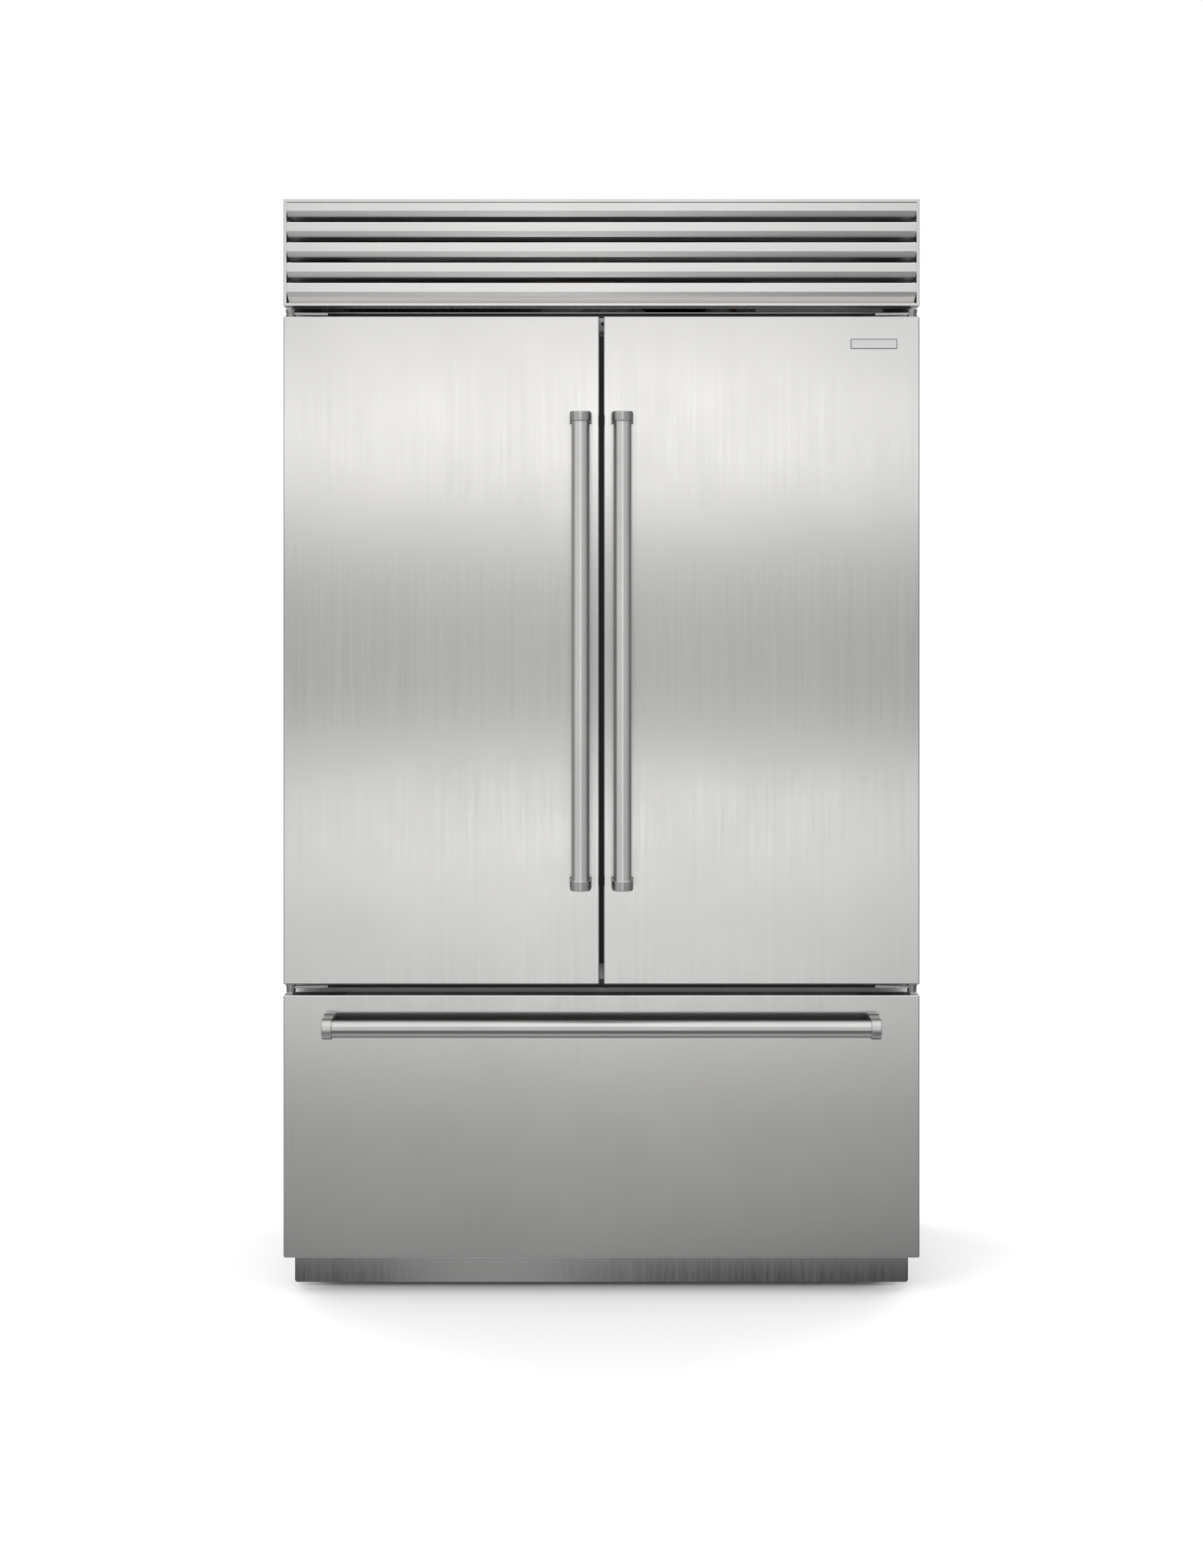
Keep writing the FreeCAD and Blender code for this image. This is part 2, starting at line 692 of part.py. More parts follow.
def grille_axis():
    """Place of the grille pivot, as y and z."""
    return face_y + grille_axis_setback, overall_height - grille_axis_drop


def grille_louvres():
    """Sheet louvres: an upright lip in front, then a blade that falls away to the rear."""
    half = half_width - grille_frame_width - bond_clearance
    top = overall_height - grille_frame_width - bond_clearance
    clear_height = grille_height - 2 * grille_frame_width - 2 * bond_clearance
    pitch = clear_height / louvre_count
    y0 = face_y + louvre_setback
    t = louvre_sheet
    louvres = []
    for index in range(louvre_count):
        z0 = top - index * pitch
        outline = [
            (-half, y0 + 0.75 * t, z0),
            (-half, y0, z0 - louvre_bevel),
            (-half, y0, z0 - louvre_lip),
            (-half, y0 + louvre_run, z0 - louvre_lip - louvre_fall),
            (-half, y0 + louvre_run, z0 - louvre_lip - louvre_fall + t),
            (-half, y0 + t, z0 - louvre_lip + t / 2),
            (-half, y0 + t, z0),
        ]
        louvre = prism(outline, (2 * half, 0, 0))
        low_z = z0 - louvre_lip - louvre_fall - 1
        for side in (-1, 1):
            corner = [
                (side * (half + 1), y0 + t, low_z),
                (side * half, y0 + t, low_z),
                (side * (half - louvre_taper), y0 + louvre_run + 1, low_z),
                (side * (half + 1), y0 + louvre_run + 1, low_z),
            ]
            louvre = louvre.cut(prism(corner, (0, 0, pitch)))
        louvres.append(louvre)
    return louvres


def grille_brackets():
    """Cabinet-side plates beside the grille lugs, each with a pivot pin."""
    axis_y, axis_z = grille_axis()
    outer_x = cabinet_half - panel_thickness
    plate_x = (cabinet_half - 30 + moving_clearance, cabinet_half - 30 + moving_clearance + 3)
    plate = block(plate_x, (axis_y - 8, cabinet_y + 30), (axis_z - 14, overall_height - panel_thickness))
    web = block((plate_x[0], outer_x), (cabinet_y, cabinet_y + 30), (axis_z - 14, axis_z - 11))
    inner_x = cabinet_half - 30 - grille_lug_width - 3
    pin = rod(grille_pin_radius, (inner_x, axis_y, axis_z), (plate_x[1], axis_y, axis_z))
    return both_sides(joined([plate, web, pin]))


# ---- coils, fans and machinery ---------------------------------------------------------------
def finned_coil(x, y, z, rows):
    """Serpentine tube along X through a row of thin upright fins."""
    mid_y = (y[0] + y[1]) / 2
    pitch = (z[1] - z[0]) / rows
    levels = [z[0] + pitch * (row + 0.5) for row in range(rows)]
    bend = pitch / 2
    run = (x[0] + bend + coil_tube_radius, x[1] - bend - coil_tube_radius)
    tubes = [rod(coil_tube_radius, (run[0], mid_y, level), (run[1], mid_y, level)) for level in levels]
    for index in range(rows - 1):
        side = 1 if index % 2 == 0 else -1
        end_x = run[1] if side > 0 else run[0]
        ring = Part.makeTorus(bend, coil_tube_radius, Vec(end_x, mid_y, levels[index] + bend), Vec(0, 1, 0))
        reach = bend + 2 * coil_tube_radius
        outward_z = (levels[index] - reach, levels[index] + 3 * reach)
        outward = block(sorted((end_x, end_x + side * reach)), y, outward_z)
        tubes.append(ring.common(outward))
    coil = joined(tubes)
    count = int((run[1] - run[0] - 2 * coil_fin_pitch) / coil_fin_pitch)
    first = (run[0] + run[1] - count * coil_fin_pitch) / 2
    fin = block((first, first + coil_fin_thickness), y, z)
    for level in levels:
        fin = fin.cut(rod(coil_tube_radius, (first - 1, mid_y, level), (first + 2, mid_y, level)))
    fins = []
    for index in range(count + 1):
        copy = fin.copy()
        copy.translate(Vec(index * coil_fin_pitch, 0, 0))
        fins.append(copy)
    return [coil] + fins


def axial_fan(centre, radius):
    """Hub with five pitched blades, turning about Y, bored for its motor's shaft."""
    blade_count, blade_pitch, blade_sheet = 5, 32.0, 2.2
    x, y, z = centre
    hub_radius = radius * fan_hub_share
    hub = rod(hub_radius, (x, y - fan_depth / 2, z), (x, y + fan_depth / 2, z))
    root = hub_radius * 0.6
    chord = min(radius * 0.62, fan_depth / math.sin(math.radians(blade_pitch)) * 0.95)
    blades = []
    for index in range(blade_count):
        half_sheet = blade_sheet / 2
        blade = block((-chord / 2, chord / 2), (-half_sheet, half_sheet), (root, radius))
        blade.rotate(Vec(0, 0, 0), Vec(0, 0, 1), blade_pitch)
        blade.rotate(Vec(0, 0, 0), Vec(0, 1, 0), 360.0 / blade_count * index)
        blade.translate(Vec(x, y, z))
        blades.append(blade)
    disc = rod(radius, (x, y - fan_depth / 2, z), (x, y + fan_depth / 2, z))
    wheel = joined([hub] + blades).common(disc)
    bore_radius = fan_shaft_radius + running_clearance
    bore = rod(bore_radius, (x, y - fan_depth / 2 + 5, z), (x, y + fan_depth / 2 + 1, z))
    return wheel.cut(bore)


def fan_motor(centre, radius, length):
    """Motor can behind a fan, with a shaft into the hub and a strap to the piece behind or beside it."""
    x, y, z = centre
    can_y = y + fan_depth / 2 + 4
    can = rod(radius, (x, can_y, z), (x, can_y + length, z))
    shaft = rod(fan_shaft_radius, (x, y - fan_depth / 2 + 5 + moving_clearance, z), (x, can_y, z))
    return joined([can, shaft])


condenser_x = (-cavity_half + 20, -130.0)
condenser_centre = (
    (condenser_x[0] + condenser_x[1]) / 2,
    cabinet_y + 118,
    (deck_z + overall_height) / 2,
)
fridge_fan_centre = (0, duct_y + duct_depth / 2 - 3, fridge_ceiling - 160)
freezer_fan_centre = (0, duct_y + duct_depth / 2 - 3, (freezer_floor + freezer_ceiling) / 2)
service_places = {
    "water": (cavity_half * 0.8, deck_z + 70, inlet_radius + bond_clearance),
    "power": (-cavity_half * 0.8, deck_z + 70, 11.0 + bond_clearance),
}
compressor_place = (150.0, cabinet_y + 230)
control_x = (cavity_half - 250, cavity_half)
control_y = (cabinet_y + 40, cabinet_y + 220)
control_z = (deck_z, deck_z + 120)
rocker_width, rocker_height = 14.0, 22.0
rocker_centre = (control_x[0] + 50, control_y[0], control_z[0] + 80)


def fan_shroud():
    """Plate behind the condenser with the opening that the fan draws through."""
    x = (condenser_x[0] - 10, condenser_x[1] + 10)
    y = (cabinet_y + 84, cabinet_y + 84 + 2)
    plate = block(x, y, (deck_z, overall_height - panel_thickness - 1))
    collar_depth, collar_wall, tip_gap = 18.0, 2.0, 5.0
    fan_x, _, fan_z = condenser_centre
    radius = condenser_fan_radius + tip_gap
    hole = rod(radius, (fan_x, y[0] - 1, fan_z), (fan_x, y[0] + collar_depth + 1, fan_z))
    collar = rod(radius + collar_wall, (fan_x, y[0], fan_z), (fan_x, y[0] + collar_depth, fan_z))
    return joined([plate, collar]).cut(hole)


def motors():
    """Motors of the condenser fan and of the two evaporator fans."""
    condenser = fan_motor(condenser_centre, 27.0, 46.0)
    x, y, z = condenser_centre
    strap_y = (y + fan_depth / 2 + 20, y + fan_depth / 2 + 32)
    post = block((x - 10, x + 10), strap_y, (deck_z, z))
    return [
        joined([condenser, post]),
        fan_motor(fridge_fan_centre, 18.0, 6.0),
        fan_motor(freezer_fan_centre, 18.0, 6.0),
    ]


def compressor():
    """Hermetic compressor: domed can on a foot plate, with a terminal box on its side."""
    x, y = compressor_place
    r, h, dome = compressor_radius, compressor_height, 34.0
    base = deck_z + 14
    top = base + 8 + h
    can = rod(r, (x, y, base + 8), (x, y, top))
    can = can.makeFillet(dome, [edge for edge in can.Edges if edge.Closed])
    weld = rod(r + 2.5, (x, y, base + h * 0.52), (x, y, base + h * 0.52 + 5))
    plate = block((x - 95, x + 95), (y - 60, y + 60), (base, base + 3))
    neck = rod(r * 0.6, (x, y, base + 2), (x, y, base + 12))
    terminal = block((x + r - 12, x + r + 26), (y - 26, y + 26), (base + 50, base + 100))
    body = joined([can, weld, plate, neck, terminal])
    for fx, fy in foot_places():
        body = body.cut(rod(6.2, (fx, fy, base - 1), (fx, fy, base + 4)))
    return body


def foot_places():
    """Centres of the four rubber feet under the compressor."""
    x, y = compressor_place
    return [(x + sx * 82, y + sy * 47) for sx in (-1, 1) for sy in (-1, 1)]


def compressor_feet():
    """Waisted rubber feet between the deck and the foot plate."""
    feet = []
    for x, y in foot_places():
        lower = rod(12, (x, y, deck_z), (x, y, deck_z + 14))
        stem = rod(6, (x, y, deck_z + 14), (x, y, deck_z + 18))
        head = rod(9, (x, y, deck_z + 17), (x, y, deck_z + 20))
        feet.append(joined([lower, stem, head]))
    return feet


def control_box():
    """Electronics housing with a bezel recess for the rocker switch."""
    box = block(control_x, control_y, control_z)
    vents = 7
    x, y, z = rocker_centre
    recess_x = (x - rocker_width / 2 - 1, x + rocker_width / 2 + 1)
    recess_z = (z - rocker_height / 2 - 3, z + rocker_height / 2 + 3)
    recess = block(recess_x, (y - 1, y + 16), recess_z)
    box = box.cut(recess)
    for index in range(vents):
        slot_x = control_x[0] + 110 + index * 16
        slot_y = (control_y[0] - 1, control_y[0] + 3)
        slot_z = (control_z[0] + 25, control_z[1] - 25)
        box = box.cut(block((slot_x, slot_x + 6), slot_y, slot_z))
    pin = rod(1.6, (x - rocker_width / 2 - 2, y + 6, z), (x + rocker_width / 2 + 2, y + 6, z))
    return joined([box, pin])


def power_rocker():
    """Rocker switch in the control box: a shallow V-fronted cap that turns on a cross pin."""
    x, y, z = rocker_centre
    outline = [
        (x - rocker_width / 2, y - 4, z - rocker_height / 2),
        (x - rocker_width / 2, y - 1.5, z),
        (x - rocker_width / 2, y - 4, z + rocker_height / 2),
        (x - rocker_width / 2, y + 9, z + rocker_height / 2 - 3),
        (x - rocker_width / 2, y + 9, z - rocker_height / 2 + 3),
    ]
    cap = prism(outline, (rocker_width, 0, 0))
    return cap.cut(rod(1.6 + running_clearance, (x - rocker_width, y + 6, z), (x + rocker_width, y + 6, z)))


def water_valve():
    """Inlet valve behind the bulkhead, with a threaded stub that stands out to the rear."""
    x, z, _ = service_places["water"]
    stub_y = bulkhead_y + inlet_relief
    neck = rod(inlet_radius - 0.6, (x, bulkhead_y - 10, z), (x, stub_y + 1, z))
    stub = rod(inlet_radius, (x, stub_y, z), (x, stub_y + inlet_reach, z))
    bore = rod(3.2, (x, bulkhead_y, z), (x, stub_y + inlet_reach + 1, z))
    body = block((x - 18, x + 18), (bulkhead_y - 50, bulkhead_y - 3), (z - 18, z + 18))
    coil = rod(15, (x, bulkhead_y - 28, z + 18), (x, bulkhead_y - 28, z + 56))
    return joined([neck, stub, body, coil]).cut(bore)


def power_gland():
    """Cable entry through the bulkhead: a flanged gland with a plain bore."""
    x, z, _ = service_places["power"]
    body = rod(11, (x, bulkhead_y - 14, z), (x, bulkhead_y + 6, z))
    hexagon = [
        (x + 17 * math.cos(math.radians(60 * k)), bulkhead_y + 0.2, z + 17 * math.sin(math.radians(60 * k)))
        for k in range(6)
    ]
    nut = prism(hexagon, (0, 9, 0))
    cap = rod(13, (x, bulkhead_y + 9.2, z), (x, bulkhead_y + 24, z))
    bore = rod(gland_bore_radius, (x, bulkhead_y - 15, z), (x, bulkhead_y + 25, z))
    return joined([body, nut, cap]).cut(bore)


# ---- refrigerator interior -------------------------------------------------------------------
crisper_top = fridge_floor + 6 + crisper_height
shelf_y = (cabinet_y + shelf_setback, duct_y - moving_clearance)
shelf_x = (post_half / 2, cavity_half - 4)


def shelf_heights():
    """Underside of every shelf frame: the crisper cover first, then the open shelves."""
    first = crisper_top + 6
    pitch = (fridge_ceiling - first) / (shelf_levels + 1)
    return [first + level * pitch for level in range(shelf_levels + 1)]


def shelves():
    """Glass panes and the rims that carry them, on both sides of the cavity."""
    panes, rims = [], []
    for z in shelf_heights():
        outer = block(shelf_x, shelf_y, (z, z + shelf_frame_height))
        pane_z = (z + shelf_frame_height - glass_thickness - 1, z + shelf_frame_height - 1)
        seat_x = (shelf_x[0] + shelf_rim / 2, shelf_x[1] - shelf_rim / 2)
        seat_y = (shelf_y[0] + shelf_rim / 2, shelf_y[1] - shelf_rim / 2)
        seat = block(seat_x, seat_y, (pane_z[0], z + shelf_frame_height + 1))
        light = block(
            (shelf_x[0] + shelf_rim, shelf_x[1] - shelf_rim),
            (shelf_y[0] + shelf_rim, shelf_y[1] - shelf_rim),
            (z - 1, z + shelf_frame_height + 1),
        )
        rim = outer.cut(seat).cut(light)
        b = bond_clearance
        pane = block((seat_x[0] + b, seat_x[1] - b), (seat_y[0] + b, seat_y[1] - b), pane_z)
        panes += both_sides(pane)
        rims += both_sides(rim)
    return panes, rims


def coil_cover(z, fan_centre):
    """Shell over a coil on the rear wall, open at the back, with a round opening before its fan."""
    half = cavity_half - 6
    wall = 2.5
    shell = block((-half, half), (duct_y, cavity_back_y), z)
    hollow_y = (duct_y + wall, cavity_back_y + 1)
    hollow = block((-half + wall, half - wall), hollow_y, (z[0] + wall, z[1] - wall))
    x, _, fan_z = fan_centre
    fan_hole = rod(evaporator_fan_radius - 6, (x, duct_y - 1, fan_z), (x, duct_y + wall + 1, fan_z))
    return shell.cut(hollow).cut(fan_hole)


def air_slot(centre_x, width, low_z):
    """Cutter for one flat air slot in a coil cover."""
    x = (centre_x - width / 2, centre_x + width / 2)
    height = 8.0
    return block(x, (duct_y - 1, duct_y + 3), (low_z, low_z + height))


def fridge_duct():
    """Air duct cover on the rear wall of the refrigerator cavity: two outlets above every shelf."""
    shell = coil_cover((fridge_floor + 4, fridge_ceiling - 4), fridge_fan_centre)
    for level in shelf_heights()[1:]:
        for centre in (-cavity_half / 2, cavity_half / 2):
            shell = shell.cut(air_slot(centre, 120.0, level + 60))
    return shell


def freezer_cover():
    """Cover over the freezer coil, with a row of return slots along its foot."""
    z = (freezer_floor + 4, freezer_ceiling - 4)
    shell = coil_cover(z, freezer_fan_centre)
    slots = 8
    pitch = 2 * cavity_half / (slots + 1)
    for index in range(slots):
        centre = -cavity_half + pitch * (index + 1)
        shell = shell.cut(air_slot(centre, 60.0, z[0] + 30))
    return shell


def evaporators():
    """Cooling coils behind the two covers, to the left of their fans."""
    y = (duct_y + 8, cavity_back_y - 6)
    left_x = (-cavity_half + 40, -evaporator_fan_radius - 40)
    fridge = finned_coil(left_x, y, (fridge_ceiling - 320, fridge_ceiling - 40), 7)
    freezer = finned_coil(left_x, y, (freezer_floor + 30, freezer_ceiling - 30), 8)
    return fridge + freezer


def ceiling_light():
    """Two lamp bars under the refrigerator ceiling."""
    y = (cabinet_y + 60, cabinet_y + 84)
    bar = block((60, cavity_half - 60), y, (fridge_ceiling - 9, fridge_ceiling))
    edges = [edge for edge in bar.Edges if edge.CenterOfMass.z < fridge_ceiling - 8]
    return both_sides(bar.makeFillet(3, edges))


def crisper():
    """Right crisper drawer, closed: an open tray with a grip lip along its front."""
    x = (shelf_x[0] + 4, shelf_x[1] - 4)
    y = (cabinet_y + crisper_setback, duct_y - 6)
    z = (fridge_floor + moving_clearance, crisper_top)
    body = tray(x, y, z, crisper_wall)
    grip = block((x[0] + 20, x[1] - 20), (y[0] - 14, y[0]), (z[1] - 26, z[1] - 22))
    lip = block((x[0] + 20, x[1] - 20), (y[0] - 14, y[0] - 11), (z[1] - 34, z[1] - 22))
    return joined([body, grip, lip])


# ---- writing the pieces ----------------------------------------------------------------------
def main():
    os.makedirs("parts", exist_ok=True)

    door = right_door()
    for name, piece in door.items():
        save("right_door_" + name, piece)
        group = piece if isinstance(piece, list) else [piece]
        mirrored = [both_sides(shape)[1] for shape in group]
        save("left_door_" + name, mirrored if len(mirrored) > 1 else mirrored[0])
    save("badge_plate", badge_plate())
    for name, piece in drawer_front().items():
        save("drawer_" + name, piece)
    save("freezer_basket", freezer_basket())
    save("freezer_tray", sliding_tray())
    outer, middle, inner = slide_members()
    save("slide_cabinet_members", outer)
    save("slide_middle_members", middle)
    save("slide_drawer_members", inner)

    half = cabinet_half - panel_thickness
    save("side_panels", both_sides(side_panel()))
    back_z = (cabinet_bottom, deck_z - panel_thickness)
    save("back_panel", block((-half, half), (back_y - panel_thickness, back_y), back_z))
    save("top_panel", top_panel())
    save("inner_cabinet", inner_cabinet())
    save("front_rails", front_rails())
    save("centre_post", centre_post())
    save("post_guide", post_guide())
    save("hinges", hinges())
    save("base_frame", base_frame())
    right_leg, left_leg = both_sides(levelling_leg())
    save("levelling_leg_right", right_leg)
    save("levelling_leg_left", left_leg)
    save("rear_rollers", rear_rollers())
    save("kickplate", kickplate())

    save("grille_frame", grille_frame())
    save("grille_louvres", grille_louvres())
    save("grille_brackets", grille_brackets())
    save("machine_deck", machine_deck())
    coil_y = (cabinet_y + 30, cabinet_y + 74)
    coil_z = (deck_z + 8, overall_height - panel_thickness - 8)
    save("condenser_coil", finned_coil(condenser_x, coil_y, coil_z, 6))
    save("fan_shroud", fan_shroud())
    save("fan_motors", motors())
    save("condenser_fan", axial_fan(condenser_centre, condenser_fan_radius))
    save("refrigerator_fan", axial_fan(fridge_fan_centre, evaporator_fan_radius))
    save("freezer_fan", axial_fan(freezer_fan_centre, evaporator_fan_radius))
    save("compressor", compressor())
    save("compressor_feet", compressor_feet())
    save("control_box", control_box())
    save("power_rocker", power_rocker())
    save("water_valve", water_valve())
    save("power_gland", power_gland())

    panes, rims = shelves()
    save("glass_shelves", panes)
    save("shelf_frames", rims)
    save("fridge_duct", fridge_duct())
    save("freezer_cover", freezer_cover())
    save("evaporators", evaporators())
    save("ceiling_light", ceiling_light())
    right_crisper, left_crisper = both_sides(crisper())
    save("crisper_right", right_crisper)
    save("crisper_left", left_crisper)


main()
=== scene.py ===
import json
import math

import bpy
import numpy as np
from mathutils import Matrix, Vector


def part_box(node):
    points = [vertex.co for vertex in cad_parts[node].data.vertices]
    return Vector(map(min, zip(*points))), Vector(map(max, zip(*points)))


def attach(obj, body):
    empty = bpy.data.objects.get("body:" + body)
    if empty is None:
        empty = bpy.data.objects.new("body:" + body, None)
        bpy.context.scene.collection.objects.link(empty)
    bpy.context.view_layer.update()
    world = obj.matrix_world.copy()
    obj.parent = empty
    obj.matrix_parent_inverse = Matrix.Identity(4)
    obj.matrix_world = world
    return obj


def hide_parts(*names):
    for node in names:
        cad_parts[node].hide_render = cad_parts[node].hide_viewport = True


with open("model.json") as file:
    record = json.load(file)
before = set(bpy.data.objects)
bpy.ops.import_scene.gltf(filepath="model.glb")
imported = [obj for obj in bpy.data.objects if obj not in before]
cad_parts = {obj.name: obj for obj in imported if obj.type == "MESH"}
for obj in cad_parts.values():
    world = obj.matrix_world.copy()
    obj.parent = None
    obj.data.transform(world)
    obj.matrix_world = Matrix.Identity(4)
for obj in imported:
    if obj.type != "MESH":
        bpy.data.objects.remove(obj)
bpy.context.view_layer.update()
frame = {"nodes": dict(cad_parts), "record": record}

bl_info = {
    "name": "Built-in Refrigerator",
    "version": (1, 0, 0),
    "blender": (4, 5, 0),
    "location": "View3D > Sidebar > Refrigerator",
    "description": "Finishes, fine parts and a studio for a built-in french door refrigerator",
    "category": "Add Mesh",
}

MM = 0.001
FINISH = {}                      # material of each of the record's slots, once it is made
BIN_COUNT, BIN_HEIGHT = 3, 118 * MM

# The studio's surrounding light. A direction's slope is its rise over its run, and its bearing is in
# degrees from straight in front. Each pair is a place on that scale and the light that comes from there.
WORLD_SCALE = 2.1
SIDE_LIFT = 0.12                 # light added low down at the sides
SLOPE_LOW, SLOPE_HIGH = -3.0, 1.8
SLOPE_TONES = [
    (-3.0, 0.4), (-2.4, 1.0), (-1.7, 1.0), (-1.45, 0.24), (-1.2, 0.22), (-0.7, 0.23), (-0.4, 0.22),
    (-0.275, 0.235), (-0.25, 0.278), (-0.225, 0.242), (-0.2, 0.295), (-0.18, 0.356), (-0.155, 0.67),
    (-0.135, 0.414), (-0.115, 0.569), (-0.09, 0.782), (-0.075, 0.763), (-0.058, 0.337), (-0.045, 0.247),
    (-0.01, 0.325), (0.015, 0.307), (0.03, 0.468), (0.05, 0.786), (0.075, 0.927), (0.095, 0.752),
    (0.12, 0.549), (0.15, 0.589), (0.3, 0.6), (0.5, 0.5), (0.75, 0.6), (1.1, 0.82), (1.8, 0.68)]
BEARING_TONES = [
    (-180, 0.35), (-150, 0.2), (-131, 0.11), (-112, 0.2), (-95, 0.27), (-78, 0.4), (-60, 0.6), (-35, 0.56),
    (-16, 0.62), (-9, 0.7), (-4, 1.0), (4, 1.0), (9, 0.66), (16, 0.5), (35, 0.39), (60, 0.33), (81, 0.25),
    (96, 0.22), (112, 0.13), (131, 0.08), (150, 0.2), (180, 0.35)]
# Takes over from BEARING_TONES between these two slopes and stays below them, for the kickplate.
LOW_SLOPES = (-0.267, -0.272)
LOW_TONES = [
    (-180, 0.3), (-30, 0.3), (-6.4, 0.26), (-5, 0.3), (-3.9, 1.0), (-1.6, 1.0), (-0.9, 0.8), (0, 0.55),
    (1.1, 0.38), (2, 0.28), (3.4, 0.2), (6, 0.19), (7.2, 0.15), (30, 0.25), (180, 0.3)]
# name, place, size in metres and watts of each lamp
LAMPS = (("key_light", (-2.6, -3.6, 3.6), 3.0, 90), ("fill_light", (3.4, -2.4, 2.4), 2.5, 40),
         ("left_back_light", (-3.2, 3.2, 3.0), 2.5, 70), ("right_back_light", (3.2, 3.4, 3.0), 2.5, 70))


# ---- sizes and colours a user would change ---------------------------------------------------
def colour(label, description, value):
    """A colour property with its label, description and default."""
    return bpy.props.FloatVectorProperty(name=label, description=description, default=value,
                                         size=3, subtype="COLOR", min=0, max=1)


def length(label, description, value):
    """A length property in metres."""
    return bpy.props.FloatProperty(name=label, description=description, default=value,
                                   subtype="DISTANCE", unit="LENGTH")


def share(label, description, value, top=1.0):
    """A plain number from 0 to top."""
    return bpy.props.FloatProperty(name=label, description=description, default=value,
                                   min=0, max=top, subtype="FACTOR" if top == 1 else "NONE")


class SteelFinish(bpy.types.PropertyGroup):
    """Brushed steel of the fronts, handles, grille and kickplate."""

    front_colour: colour("Fronts", "Door and drawer fronts", (0.66, 0.652, 0.64))
    # brighter than the drawer bar of the same steel: painted highlight on the door handles
    handle_colour: colour("Door handles", "Bars of the door handles", (0.9, 0.889, 0.875))
    bar_colour: colour("Drawer handle", "Bar of the drawer handle", (0.64, 0.632, 0.622))
    bracket_colour: colour("Ferrules", "Handle ferrules and feet", (0.6, 0.593, 0.584))
    louvre_colour: colour("Grille", "Grille frame and louvres", (0.66, 0.652, 0.642))
    # darker than the other steel: painted shade under the drawer's overhang
    kick_colour: colour("Kickplate", "Kickplate under the drawer", (0.47, 0.466, 0.459))
    front_roughness: share("Front roughness", "Roughness of the fronts", 0.185)
    grain: share("Grain", "Depth of the brushed grain", 0.5)


class CasingFinish(bpy.types.PropertyGroup):
    """Liner, sheet metal and moulded parts."""

    liner_colour: colour("Liner", "Moulded liner and basket", (0.82, 0.83, 0.83))
    gasket_colour: colour("Gaskets", "Magnetic door gaskets", (0.07, 0.07, 0.073))
    zinc_colour: colour("Galvanised sheet", "Side, back and top sheets", (0.5, 0.52, 0.53))
    chassis_colour: colour("Chassis", "Painted base frame", (0.022, 0.022, 0.024))
    copper_colour: colour("Pipes", "Copper refrigerant pipes", (0.78, 0.36, 0.2))


class FinePartSizes(bpy.types.PropertyGroup):
    """Sizes of the fine parts."""

    gasket_fold: length("Gasket fold", "Depth of the folds in the gasket's sides", 1.6 * MM)
    screw_radius: length("Screw head", "Radius of a sheet screw's hexagon head", 4.0 * MM)
    screw_pitch: length("Screw pitch", "Distance between screws along a seam", 230 * MM)
    bin_rail: length("Bin rail", "Radius of the rails on bins and crispers", 3.2 * MM)
    bumper_radius: length("Bumper", "Radius of the rubber bumper between the doors", 2.9 * MM)
    pipe_radius: length("Pipe", "Radius of the refrigerant pipes", 4.0 * MM)
    bead_depth: length("Bead depth", "Depth of the beads pressed into the back sheet", 0.9 * MM)


class StudioSettings(bpy.types.PropertyGroup):
    """Camera, floor and light."""

    distance: length("Camera distance", "From the fronts to the camera", 4.6)
    height: length("Camera height", "Height of the camera", 1.32)
    lens: share("Lens", "Focal length in millimetres", 55.1, 200)
    shift: bpy.props.FloatProperty(name="Shift", description="Vertical lens shift", default=-0.112)
    strength: share("Studio light", "Strength of the surrounding light", 1.0, 5)
    floor_colour: colour("Floor", "Floor of the studio", (0.9, 0.9, 0.9))


# ---- node trees ------------------------------------------------------------------------------
def add(tree, kind, feeds=None, **settings):
    """Adds one node and feeds its inputs from other sockets or from plain values."""
    node = tree.nodes.new(kind)
    for key, value in settings.items():
        setattr(node, key, value)
    for socket, source in (feeds or {}).items():
        if isinstance(source, bpy.types.NodeSocket):
            tree.links.new(source, node.inputs[socket])
        else:
            node.inputs[socket].default_value = source
    return node


def sum_of(tree, operation, first, second=0.0, third=None):
    """Output of one Math node."""
    feeds = {0: first, 1: second}
    if third is not None:
        feeds[2] = third
    return add(tree, "ShaderNodeMath", feeds, operation=operation).outputs[0]


def noise(tree, vector, scale, detail=2.0):
    """Output of one noise texture."""
    feeds = {"Vector": vector, "Scale": scale, "Detail": detail}
    return add(tree, "ShaderNodeTexNoise", feeds).outputs[0]


def scaled(tree, shade, factor):
    """A colour times a number."""
    feeds = {0: shade, "Scale": factor}
    return add(tree, "ShaderNodeVectorMath", feeds, operation="SCALE").outputs[0]


def fade_between(tree, value, start, end):
    """0 before start, 1 after end, and a smooth step between them."""
    feeds = {"Value": value, "From Min": start, "From Max": end}
    return add(tree, "ShaderNodeMapRange", feeds, interpolation_type="SMOOTHSTEP").outputs[0]


def new_group(name, takes, gives):
    """Starts a shader group and returns its tree, what comes in and what goes out."""
    tree = bpy.data.node_groups.new(name, "ShaderNodeTree")
    kinds = {"v": "NodeSocketVector", "c": "NodeSocketColor", "f": "NodeSocketFloat"}
    for label, kind, value in takes:
        socket = tree.interface.new_socket(label, in_out="INPUT", socket_type=kinds[kind])
        if value is not None:
            socket.default_value = value
    for label, kind in gives:
        tree.interface.new_socket(label, in_out="OUTPUT", socket_type=kinds[kind])
    came = tree.nodes.new("NodeGroupInput").outputs
    goes = tree.nodes.new("NodeGroupOutput").inputs
    return tree, came, goes


